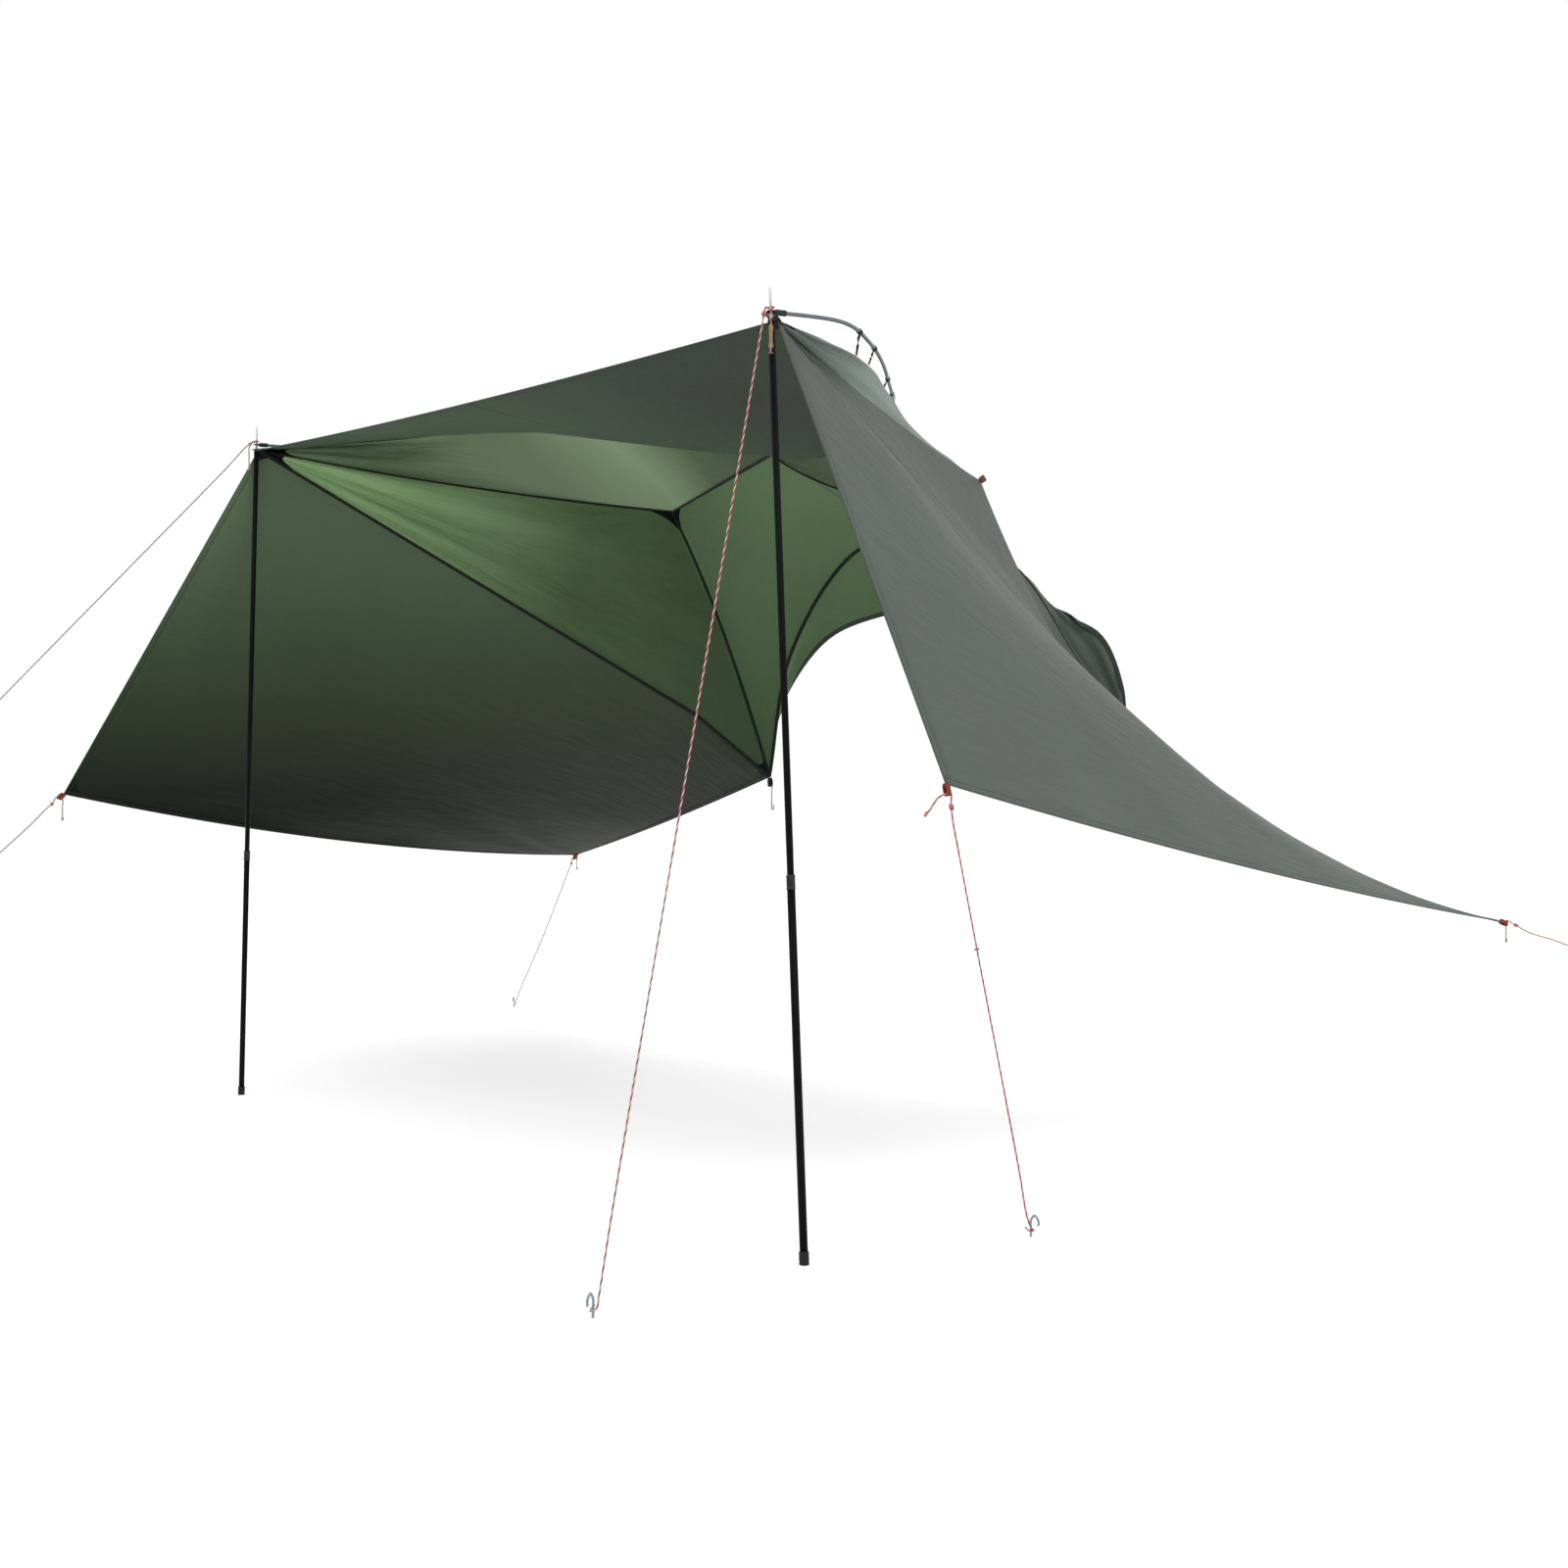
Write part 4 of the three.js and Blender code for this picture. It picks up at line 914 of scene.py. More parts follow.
def canopy_half(name, spans):
    """Welds the fine grids of several panels into one sheet and gives it its thickness."""
    vertices, faces, uvs, slots = [], [], [], []
    pairs = []
    for panel, (low, high, columns) in spans.items():
        rows, outer, inner = DRESS[panel]
        pair = (outer, inner)
        if pair not in pairs:
            pairs.append(pair)
        us = np.linspace(low, high, columns + 1)
        vs = np.linspace(0, 1, rows + 1)
        u, v = np.meshgrid(us, vs, indexing="ij")
        points = SURFACE[panel](u, v)
        wide = length_of(points[:, rows // 2])
        tall = length_of(points[columns // 2])
        base = sum(len(block) for block in vertices)
        vertices.append(points.reshape(-1, 3))
        i, j = columns // 2, rows // 2
        middle = points[i, j]
        facing = np.cross(points[i + 1, j] - middle, points[i, j + 1] - middle)
        turn = 1 if np.dot(facing, middle - INSIDE) > 0 else -1
        for i in range(columns):
            for j in range(rows):
                ring = [(i, j), (i + 1, j), (i + 1, j + 1), (i, j + 1)][::turn]
                faces.append(tuple(base + a * (rows + 1) + b for a, b in ring))
                uvs += [((low + (high - low) * a / columns) * wide, b / rows * tall) for a, b in ring]
                slots.append(pairs.index(pair))
    materials = [pair[0] for pair in pairs] + [pair[1] for pair in pairs]
    obj = piece(name, np.concatenate(vertices), faces, uvs, slots, materials)
    tidy_mesh(obj, SEAM_WELD, outward=False)
    solid = obj.modifiers.new("thickness", "SOLIDIFY")
    solid.thickness = CLOTH_THICKNESS
    solid.offset = 0
    solid.material_offset = len(pairs)
    return applied(obj)


def area_of(obj):
    return sum(polygon.area for polygon in obj.data.polygons) / 2


def spans_of(side):
    """The stretch of each panel that belongs to one half of the canopy, and its number of columns."""
    half = (0, 0.5) if side == "left" else (0.5, 1)
    return {
        "roof_centre_panel": (*half, ROOF_STEPS),
        f"roof_{side}_panel": (0, 1, ROOF_STEPS),
        f"side_{side}_panel": (0, 1, CROWN_STEPS),
        f"wing_{side}": (0, 1, CROWN_STEPS),
        "rear_panel": (*half, REAR_STEPS),
        "tunnel_sleeve": (*half, REAR_STEPS),
    }


CANOPY = {side: canopy_half(f"canopy_{side}", spans_of(side)) for side in ("left", "right")}


def strip_profile(width, height, steps=6):
    """A flat tape's outline with rounded edges."""
    turns = np.linspace(-math.pi / 2, math.pi / 2, steps)
    rounds = [(width / 2 - height / 2 + height / 2 * math.cos(t), height / 2 * math.sin(t)) for t in turns]
    return rounds + [(-a, -b) for a, b in rounds]


EDGE_SAMPLES = 90
# How far into the cloth a rim looks for its direction
RIM_STEP = 0.004


def square_to(tangents, directions):
    """The directions, turned square to the tangents."""
    return unit(directions - (directions * tangents).sum(-1, keepdims=True) * tangents)


def seam_binding(name, edge, width=0.013, height=0.0045, depth=0.0035):
    """The black tape bound over a seam inside the tent."""
    line = EDGE[edge](np.linspace(0, 1, EDGE_SAMPLES))
    tangents = unit(np.gradient(line, axis=0))
    outward = square_to(tangents, unit(line - INSIDE))
    profile = strip_profile(width, height)
    return sweep(name, line - outward * depth, np.cross(tangents, outward), outward, profile, "binding")


def rim_frame(panel, rim):
    """A panel's rim: its line, the direction into the cloth, and the outward direction."""
    t = np.linspace(0, 1, EDGE_SAMPLES)

    def line_at(depth):
        low, high = np.full(EDGE_SAMPLES, depth), np.full(EDGE_SAMPLES, 1 - depth)
        spots = {"start": (low, t), "finish": (high, t), "near": (t, low), "far": (t, high)}
        return PANEL[panel](*spots[rim])

    line = line_at(0.0)
    tangents = unit(np.gradient(line, axis=0))
    inward = square_to(tangents, line_at(RIM_STEP) - line)
    outward = unit(np.cross(tangents, inward))
    middle = EDGE_SAMPLES // 2
    if np.dot(outward[middle], line[middle] - INSIDE) < 0:
        outward = -outward
    return line, inward, outward


# Where a hem's two rows of stitches run, as shares of its width, and how far it hangs past the cloth's edge
HEM_ROWS = (-0.3, 0.32)
HEM_OVERHANG = 0.001
# How far from a tape's middle its stitches lie, as a share of its height
PROUD = 0.52


def hem(name, panel, rim, width=0.022, height=0.004, outer="wing_out", inner="wing_in", first=0.0, last=1.0):
    """A turned hem with two rows of stitching, on a panel's free rim between two shares of its length."""
    line, inward, outward = rim_frame(panel, rim)
    keep = slice(int(first * len(line)), int(last * len(line)) + 1)
    line, inward, outward = line[keep], inward[keep], outward[keep]
    centre = line + inward * (width / 2 - HEM_OVERHANG)
    profile = strip_profile(width, height)
    indices = [0 if a[1] + b[1] > 0 else 1 for a, b in zip(profile, profile[1:] + profile[:1])]
    parts = [sweep(name, centre, inward, outward, profile, [outer, inner], indices=indices)]
    for row in HEM_ROWS:
        for face in (1, -1):
            thread = centre + inward * width * row + outward * face * height * PROUD
            parts.append(stitches(f"{name}_thread", thread, inward, outward))
    return joined_piece(name, parts)


STITCH_LENGTH = 0.0045
STITCH_PITCH = 0.0065
STITCH_RADIUS = 0.0005


def stitches(name, line, across, outward, radius=STITCH_RADIUS, pitch=STITCH_PITCH):
    """A row of lockstitches: short threads along a line."""
    total = length_of(line)
    count = max(2, int(total / pitch))
    at_line = by_length(line)
    shares = (np.arange(count) + 0.5) / count
    half = STITCH_LENGTH / 2 / total
    starts, ends = at_line(np.clip(shares - half, 0, 1)), at_line(np.clip(shares + half, 0, 1))
    index = np.clip((shares * (len(line) - 1)).astype(int), 0, len(line) - 1)
    side, up = across[index] * radius * 1.3, outward[index] * radius
    vertices = np.stack([starts - side, starts + up, starts + side, starts - up,
                         ends - side, ends + up, ends + side, ends - up], axis=1)
    box = [(0, 1, 5, 4), (1, 2, 6, 5), (2, 3, 7, 6), (3, 0, 4, 7), (3, 2, 1, 0), (4, 5, 6, 7)]
    faces = [tuple(8 * k + c for c in face) for k in range(count) for face in box]
    return piece(name, vertices.reshape(-1, 3), faces, np.zeros((len(faces) * 4, 2)), materials=["stitch"])


PATCH_STEPS = 12
PATCH_THICKNESS = 0.0008
# Where a tip's reinforcement starts, how far it keeps from the panel's edges, and how deep its end curves
TIP_START = 0.004
TIP_MARGIN = 0.02
TIP_NOTCH = 0.3
# How far the reinforcements lie inside the cloth
INNER_LIFT = -0.0016


def patch(name, panel, corner, reach, concave=0.28):
    """A black reinforcement sewn on a panel's corner; corner gives its (u, v)."""
    surface = SURFACE[panel]
    u0, v0 = corner
    du, dv = (1 if u0 == 0 else -1), (1 if v0 == 0 else -1)
    at = lambda u, v: surface(np.array([float(u)]), np.array([float(v)]))[0]
    small, least = 0.02, 0.05
    long_u = np.linalg.norm(at(u0 + du * small, v0) - at(u0, v0)) / small
    long_v = np.linalg.norm(at(u0, v0 + dv * small) - at(u0, v0)) / small
    long_u, long_v = max(long_u, least), max(long_v, least)
    us, vs = [], []
    for a in np.linspace(0, 1, PATCH_STEPS + 1):
        for b in np.linspace(0, 1, PATCH_STEPS + 1):
            pull = 1 - concave * 4 * b * (1 - b)
            us.append(u0 + du * min(1, a * (1 - b) * pull * reach / long_u))
            vs.append(v0 + dv * min(1, a * b * pull * reach / long_v))
    return patch_piece(name, surface, np.array(us), np.array(vs))


def tip_patch(name, panel, end, reach):
    """A reinforcement over the whole tip of a panel that narrows to a point."""
    surface = SURFACE[panel]
    total = length_of(surface(np.linspace(0, 1, 40), np.full(40, 0.5)))
    shares = np.linspace(TIP_START, reach / total, PATCH_STEPS + 1)
    across = np.linspace(TIP_MARGIN, 1 - TIP_MARGIN, PATCH_STEPS + 1)
    u, v = np.meshgrid(shares if end == 0 else 1 - shares, across, indexing="ij")
    notch = 1 - TIP_NOTCH * np.sin(math.pi * v)
    u = u * notch if end == 0 else 1 - (1 - u) * notch
    return patch_piece(name, surface, u.ravel(), v.ravel())


def patch_piece(name, surface, u, v):
    """A thin sheet on the inner side of the cloth, from a square of the surface's own coordinates."""
    points, normal = surface(u, v), normals_of(surface, u, v)
    top = points + normal * (INNER_LIFT + PATCH_THICKNESS / 2)
    low = points + normal * (INNER_LIFT - PATCH_THICKNESS / 2)
    faces, uvs = [], []
    steps = PATCH_STEPS
    side = steps + 1
    count = len(points)
    size = 0.1
    for i in range(steps):
        for j in range(steps):
            ring = [i * side + j, (i + 1) * side + j, (i + 1) * side + j + 1, i * side + j + 1]
            faces += [tuple(ring), tuple(count + k for k in ring[::-1])]
            corner = [(k // side * size / steps, k % side * size / steps) for k in ring]
            uvs += corner + corner[::-1]
    rim = [*range(side)] + [i * side + steps for i in range(1, side)]
    rim += [steps * side + j for j in range(steps - 1, -1, -1)] + [i * side for i in range(steps - 1, 0, -1)]
    for a, b in zip(rim, rim[1:] + rim[:1]):
        faces.append((b, a, count + a, count + b))
        uvs += [(0, 0)] * 4
    obj = piece(name, np.concatenate([top, low]), faces, uvs, materials=["patch"])
    tidy_mesh(obj, 1e-5)
    return obj


# Flat size of the cloth that each half of the canopy is cut from
for side in ("left", "right"):
    nodes = [f"roof_{side}_panel", f"side_{side}_panel", f"wing_{side}"]
    if side == "left":
        nodes += ["roof_centre_panel", "rear_panel", "tunnel_sleeve"]
    sheet_area = area_of(CANOPY[side])
    bindings = [f"roof_seam_{side}", f"rear_seam_{side}", f"side_seam_{side}", f"diagonal_{side}"]
    tapes = [seam_binding(f"binding_{edge}", edge) for edge in bindings]
    binding = joined_piece(f"seam_binding_{side}", tapes)
    start, finish = (0, 1) if side == "left" else (1, 0)
    # At the pole top every panel of this side narrows to a point
    tops = [
        tip_patch("tip", "roof_centre_panel", start, 0.12),
        tip_patch("tip", f"roof_{side}_panel", start, 0.14),
        tip_patch("tip", f"side_{side}_panel", 0, 0.14),
        patch("tip", f"wing_{side}", (0, 0), 0.06, 0.1),
    ]
    corners = [
        patch("patch", panel, corner, reach) for panel, corner, reach in (
            (f"roof_{side}_panel", (finish, 0), 0.02),
            (f"side_{side}_panel", (1, 0), 0.11),
            ("rear_panel", (start, 0), 0.1),
            (f"side_{side}_panel", (1, 1), 0.09),
            (f"wing_{side}", (1, 0), 0.1),
            (f"wing_{side}", (0, 1), 0.11),
            (f"wing_{side}", (1, 1), 0.1),
        )
    ]
    patches = joined_piece(f"reinforcements_{side}", tops + corners)
    rims = [
        hem("hem_door", f"wing_{side}", "start", first=0.012, last=0.988),
        hem("hem_low", f"wing_{side}", "far"),
        hem("hem_back", f"wing_{side}", "finish"),
    ]
    hems = joined_piece(f"wing_hem_{side}", rims)
    settle(CANOPY[side], nodes, follow=side)
    settle(binding, follow=side)
    settle(patches, follow=side)
    settle(hems, follow=side)

for side, first, last in (("left", 0.012, 0.5), ("right", 0.5, 0.988)):
    front = hem(f"front_hem_{side}", "roof_centre_panel", "near", 0.02, 0.004, "roof_out", "roof_in",
                first, last)
    settle(front, follow=side)
settle(hem("sleeve_hem_band", "tunnel_sleeve", "far", 0.02, 0.005, "elastic", "elastic"))
settle(seam_binding("arch_binding", "arch", 0.014, 0.005, 0.003))


# Poles

FEET = {"right": np.zeros(3), "left": np.array([-POLE_SPAN, 0.0, 0.0])}
POLE = {}
# Walls of the tubes, and how far an edge is broken
TUBE_WALL = 0.001
CHAMFER = 0.0008
SPIKE_TAPER = 0.012


def pole(side):
    """One telescoping pole from its foot to its spike; its upper pieces ride on the sliding tube."""
    foot, top = FEET[side], AT[f"pole_top_{side}"]
    axis = unit(top - foot)
    flange_top = float(np.linalg.norm(top - foot)) - TAB_RISE
    POLE[side] = (foot, axis, flange_top)
    tube_low = FOOT_FLOOR + CLEAR
    tube_top = tube_low + LOWER_LENGTH
    upper_low = tube_top - TUBE_OVERLAP
    upper_top = flange_top - FLANGE - CLEAR
    lower = turned(f"{side}_lower_pole", foot, axis,
                   hollow(LOWER_RADIUS - TUBE_WALL, LOWER_RADIUS, tube_low, tube_top), "pole")
    settle(lower, [f"{side}_lower_tube"])
    upper = turned(f"{side}_upper_pole", foot, axis,
                   hollow(UPPER_RADIUS - TUBE_WALL, UPPER_RADIUS, upper_low, upper_top), "pole")
    settle(upper, [f"{side}_upper_tube"], body=f"{side}_upper")
    settle(collar(f"{side}_collar", foot, axis, tube_top), [f"{side}_lock_collar"])
    settle(foot_cup(f"{side}_foot_cup", foot, axis), [f"{side}_foot"])
    plug_low = upper_top + CLEAR
    plug = turned(f"{side}_plug", foot, axis, [
        (0, plug_low), (UPPER_RADIUS - CHAMFER, plug_low), (UPPER_RADIUS, upper_top + TUBE_WALL),
        (UPPER_RADIUS, flange_top - TUBE_WALL), (UPPER_RADIUS - TUBE_WALL, flange_top), (0, flange_top),
    ], "plastic")
    settle(plug, [f"{side}_top_plug"], body=f"{side}_upper")
    pin_low, pin_top = flange_top + 0.0002, flange_top + PIN_LENGTH
    spike = turned(f"{side}_spike", foot, axis, [
        (0, pin_low), (PIN_RADIUS, pin_low), (PIN_RADIUS, pin_top - SPIKE_TAPER),
        (PIN_RADIUS * 0.92, pin_top - 0.010), (PIN_TIP * 1.3, pin_top - 0.001), (PIN_TIP, pin_top),
        (0, pin_top)], "pin")
    settle(spike, [f"{side}_pin"], body=f"{side}_upper")


def collar(name, foot, axis, tube_top):
    """The twist lock between the tubes: a ribbed grip with chamfered ends."""
    low = tube_top - COLLAR_SEAT
    high = low + COLLAR_HEIGHT
    pitch, rib, chamfer = 0.004, 0.0008, 0.001
    groove = COLLAR_RADIUS - 0.0012
    profile = [(LOWER_RADIUS + CLEAR, low), (COLLAR_RADIUS - chamfer, low), (COLLAR_RADIUS, low + chamfer)]
    for height in np.arange(low + 1.5 * pitch, high - 2 * pitch, pitch):
        profile += [(COLLAR_RADIUS, height), (groove, height + rib), (groove, height + 2 * rib),
                    (COLLAR_RADIUS, height + 3 * rib)]
    profile += [(COLLAR_RADIUS, high - pitch), (UPPER_RADIUS + 0.0015, high), (UPPER_RADIUS + CLEAR, high),
                (UPPER_RADIUS + CLEAR, tube_top + CLEAR), (LOWER_RADIUS + CLEAR, tube_top + CLEAR),
                (LOWER_RADIUS + CLEAR, low)]
    return turned(name, foot, axis, profile, "plastic")


def foot_cup(name, foot, axis):
    """A rubber cup with a rolled rim, cut flat where it stands."""
    outer, inner = FOOT_RADIUS, LOWER_RADIUS + CLEAR
    obj = turned(name, foot, axis, [
        (0, -0.004), (outer - 0.002, -0.004), (outer, 0.001), (outer, 0.006), (outer - 0.0008, 0.0072),
        (outer - 0.0008, 0.0088), (outer, 0.010), (outer, FOOT_HEIGHT - 0.003),
        (outer - 0.0005, FOOT_HEIGHT - 0.0008), (outer - 0.0012, FOOT_HEIGHT), (inner, FOOT_HEIGHT),
        (inner, FOOT_FLOOR), (0, FOOT_FLOOR)], "rubber")
    for vertex in obj.data.vertices:
        vertex.co.z = max(vertex.co.z, 0.0)
    return obj


for side in ("right", "left"):
    pole(side)


def on_pole(side, height):
    foot, axis, flange_top = POLE[side]
    return foot + axis * (flange_top + height)


# The bowed rod

RING_HEIGHT = END_RING_RISE + END_RING_THICKNESS / 2 + TAB_THICKNESS
ROD_LINE = spline([on_pole("right", RING_HEIGHT), *map(place, ROD_SHARES), on_pole("left", RING_HEIGHT)], 40)
ROD_AT = by_length(ROD_LINE)
ROD_LENGTH = length_of(ROD_LINE)
ROD_SECTIONS = 4
BARREL_RADIUS = ROD_RADIUS + ROD_PLAY + FERRULE_WALL
BARREL_STEPS = 16
# The width of a ferrule's end and of a barrel's mouth, as shares of the whole
FERRULE_END = 0.82
BARREL_MOUTH = 0.62


def rod_piece(name, low, high, radius, material, nodes, follow, ends=0.0, sides=24, samples=70):
    """A stretch of the rod's line between two lengths along it."""
    line = ROD_AT(np.linspace(low / ROD_LENGTH, high / ROD_LENGTH, samples))
    size = np.ones(samples)
    if ends:
        reach = np.linspace(0, high - low, samples)
        size = 1 - (1 - FERRULE_END) * (1 - smooth(np.minimum(reach, high - low - reach) / ends))
    obj = tube(name, line, radius, material, sides, size)
    return settle(obj, nodes, follow=follow)


ROD_ENDS = [i * ROD_LENGTH / ROD_SECTIONS for i in range(ROD_SECTIONS + 1)]
ROD_ENDS[0] = SOCKET_REACH / 3
ROD_ENDS[-1] = ROD_LENGTH - SOCKET_REACH / 3
for i, (low, high) in enumerate(zip(ROD_ENDS, ROD_ENDS[1:])):
    rod_piece(f"bowed_rod_{i + 1}", low + CLEAR / 2, high - CLEAR / 2, ROD_RADIUS, "rod",
              [f"rod_section_{i + 1}"], "right" if i < 2 else "left")
for i, middle in enumerate(ROD_ENDS[1:-1], 1):
    rod_piece(f"ferrule_{i}", middle - FERRULE_LENGTH / 2, middle + FERRULE_LENGTH / 2, BARREL_RADIUS,
              "ferrule", [f"rod_ferrule_{i}"], "right" if i < 2 else "left",
              ends=0.006, samples=24)


def rod_socket(side):
    """The moulded eye on the pole's pin and the barrel that takes the rod's end."""
    foot, axis, flange_top = POLE[side]
    centre = flange_top + RING_HEIGHT
    half, bore = END_RING_THICKNESS / 2, PIN_RADIUS + CLEAR
    low, high, shoulder = centre - half, centre + half, END_RING_RADIUS - CHAMFER
    eye = turned("eye", foot, axis, [
        (bore, low), (shoulder, low), (END_RING_RADIUS, low + CHAMFER), (END_RING_RADIUS, high - CHAMFER),
        (shoulder, high), (bore, high), (bore, low)], "plastic")
    shares = np.linspace(0.008 / ROD_LENGTH, SOCKET_REACH / ROD_LENGTH, BARREL_STEPS)
    line = ROD_AT(shares if side == "right" else 1 - shares)
    narrowed = BARREL_MOUTH + (1 - BARREL_MOUTH) * smooth(np.linspace(0, 1, BARREL_STEPS) / 0.25)
    barrel = tube("barrel", line, BARREL_RADIUS, "plastic", 28, narrowed)
    socket = joined_piece(f"{side}_rod_eye", [eye, barrel])
    settle(socket, [f"{side}_rod_socket"], follow=side)


rod_socket("right")
rod_socket("left")

CREST_SAMPLES = 33
CREST_STEP = 1 / (CREST_SAMPLES - 1)
BAND_STEPS = 32
TAIL_STEPS = 10
CREST = EDGE["crest"](np.linspace(0, 1, CREST_SAMPLES))


def roof_clip(index, share):
    """A strap that hangs the roof's crest from the rod: a band round the rod and a tapered tail."""
    centre = ROD_AT(np.array(share))
    tangent = unit(ROD_AT(np.array(share + 0.002)) - ROD_AT(np.array(share - 0.002)))
    nearest = int(np.argmin(np.linalg.norm(CREST - centre, axis=1)))
    foot = CREST[nearest]
    down = unit(foot - centre)
    radius = ROD_RADIUS + ROD_PLAY + CLIP_WALL / 2
    side = unit(down - np.dot(down, tangent) * tangent)
    other = np.cross(tangent, side)
    turns = np.append(np.arange(BAND_STEPS) * 2 * math.pi / BAND_STEPS, 0.0)
    ring = centre + radius * (np.cos(turns)[:, None] * side + np.sin(turns)[:, None] * other)
    band = sweep("band", ring, np.tile(tangent, (len(ring), 1)), unit(ring - centre),
                 strip_profile(CLIP_LENGTH, CLIP_WALL * 0.8), "black_webbing", close_ends=False)
    start, end = centre + down * (radius + 0.0005), foot - down * 0.004
    crest_way = unit(CREST[min(CREST_SAMPLES - 1, nearest + 1)] - foot)
    across = np.array([unit(crest_way * t + tangent * (1 - t)) for t in np.linspace(0, 1, TAIL_STEPS)])
    across = unit(across - (across @ down)[:, None] * down)
    ups = np.cross(across, np.tile(down, (TAIL_STEPS, 1)))
    tail = sweep("tail", np.linspace(start, end, TAIL_STEPS), across, ups, strip_profile(STRAP_WIDTH, 0.002),
                 "black_webbing", size=np.linspace(1, 0.8, TAIL_STEPS))
    wrap_at = centre + down * (radius + 0.012)
    wrap = sweep("wrap", np.array([wrap_at - down * 0.004, wrap_at + down * 0.004]), across[:2], ups[:2],
                 strip_profile(STRAP_WIDTH * 1.15, 0.005), "plastic")
    toggle = tube("toggle", np.array([end - down * 0.010, end - down * 0.006, end - down * 0.001]), 0.0035,
                  "orange", 12)
    settle(joined_piece(f"roof_strap_{index + 1}", [band, tail, wrap, toggle]),
           [f"roof_clip_{index + 1}"], follow="right" if share < 0.5 else "left")


for index, share in enumerate(CLIP_SHARES):
    roof_clip(index, share)


# Webbing at the corners


TAB_STEPS = 36
TAB_STITCH_STEPS = 12


def corner_tab(side):
    """A webbing tab with an eyelet, sewn to the roof's tip and hung on the pole's pin."""
    tip = AT[f"{side}_top"]
    hem_point = EDGE["front_hem"](np.array(CREST_STEP if side == "left" else 1 - CREST_STEP))
    crest_point = CREST[1] if side == "left" else CREST[-2]
    normal = unit(np.cross(hem_point - tip, crest_point - tip))
    normal = normal if normal[2] > 0 else -normal
    lift = 0.0015 + CLEAR + TAB_THICKNESS / 2
    pin = on_pole(side, 0)
    on_plane = pin + UP * (np.dot(tip + normal * lift - pin, normal) / normal[2])
    along = unit((hem_point + crest_point) / 2 + normal * lift - on_plane)
    across = np.cross(normal, along)
    half = TAB_WIDTH / 2
    long, short = TAB_LENGTH - TAB_INSET, TAB_INSET
    rim = []
    for x, y in circle(1.0, TAB_STEPS):
        reach = min((long if x > 0 else short) / max(abs(x), TINY), half / max(abs(y), TINY))
        rim.append((x * reach, y * reach))
    plate = ring_plate(on_plane, (along, across, normal), circle(TAB_HOLE, TAB_STEPS), np.array(rim),
                       TAB_THICKNESS - 0.0002, "black_webbing", flat=True)
    tidy_mesh(plate)
    bevelled(plate, 0.0006)
    grommet = turned("grommet", on_plane, normal, [
        (TAB_HOLE - 0.0012, -0.0014), (TAB_HOLE + 0.003, -0.0014), (TAB_HOLE + 0.0032, 0.0006),
        (TAB_HOLE + 0.0020, 0.0019), (TAB_HOLE, 0.0021), (TAB_HOLE - 0.0012, 0.0012),
        (TAB_HOLE - 0.0012, -0.0014)], "steel")
    parts = [plate, grommet]
    for row in (-0.38, 0.38):
        line = np.linspace(on_plane + along * 0.012, on_plane + along * (long - 0.004), TAB_STITCH_STEPS)
        line = line + across * TAB_WIDTH * row + normal * TAB_THICKNESS / 2
        sides, ups = (np.tile(way, (TAB_STITCH_STEPS, 1)) for way in (across, normal))
        parts.append(stitches("thread", line, sides, ups, 0.0004, 0.005))
    tab = joined_piece(f"{side}_corner_webbing", parts)
    settle(tab, [f"{side}_corner_tab"], follow=side)


corner_tab("right")
corner_tab("left")


# Where a loop's two bands leave the cloth, how far they take to open, and how open they are at first
LOOP_START = 0.0035
LOOP_OPENS = 0.016
LOOP_NECK = 0.55


def webbing_loop(corner, pull, cloth_normal, material, lift=0.0, length=LOOP_LENGTH, follow=None):
    """A folded loop of webbing, closed by a sewn box at the cloth."""
    along = unit(pull)
    across = unit(np.cross(along, cloth_normal))
    up = np.cross(across, along)
    origin = AT[corner] + along * (lift - LOOP_SEWN)
    radius = LOOP_HEIGHT / 2 - LOOP_WALL / 2
    straight = length - LOOP_HEIGHT / 2
    outline = [(x, -radius) for x in np.linspace(LOOP_START, straight, 10)[:-1]]
    outline += [(straight + radius * math.cos(t), radius * math.sin(t))
                for t in np.linspace(-math.pi / 2, math.pi / 2, 15)]
    outline += [(x, radius) for x in np.linspace(straight, LOOP_START, 10)[1:]]
    narrow = [LOOP_NECK + (1 - LOOP_NECK) * smooth(x / LOOP_OPENS) for x, _ in outline]
    line = np.array([origin + along * x + up * y * n for (x, y), n in zip(outline, narrow)])
    tangents = unit(np.gradient(line, axis=0))
    sides = np.tile(across, (len(line), 1))
    band = sweep("band", line, sides, np.cross(tangents, sides), strip_profile(LOOP_WIDTH, LOOP_WALL * 0.85),
                 material)
    box = sweep("box", np.array([origin + along * 0.002, origin + along * 0.012]), sides[:2],
                np.tile(up, (2, 1)), strip_profile(LOOP_WIDTH * 0.96, LOOP_HEIGHT * 0.5), material)
    bars = []
    for k in (-0.34, 0.34):
        for face in (1, -1):
            bar = np.linspace(origin + along * 0.003, origin + along * 0.011, 6)
            bar = bar + across * LOOP_WIDTH * k + up * face * LOOP_HEIGHT * 0.255
            bars.append(stitches("bar", bar, sides[:6], np.tile(up, (6, 1)), 0.0004, 0.003))
    settle(joined_piece(f"{corner}_webbing", [band, box, *bars]), [f"{corner}_loop"], follow=follow)


LEFT_FACE = outward_of("left_top", "front_left", "wing_left")
RIGHT_FACE = outward_of("right_top", "front_right", "wing_right")
REAR_FACE = outward_of("crown_left", "crown_right", "back_left")
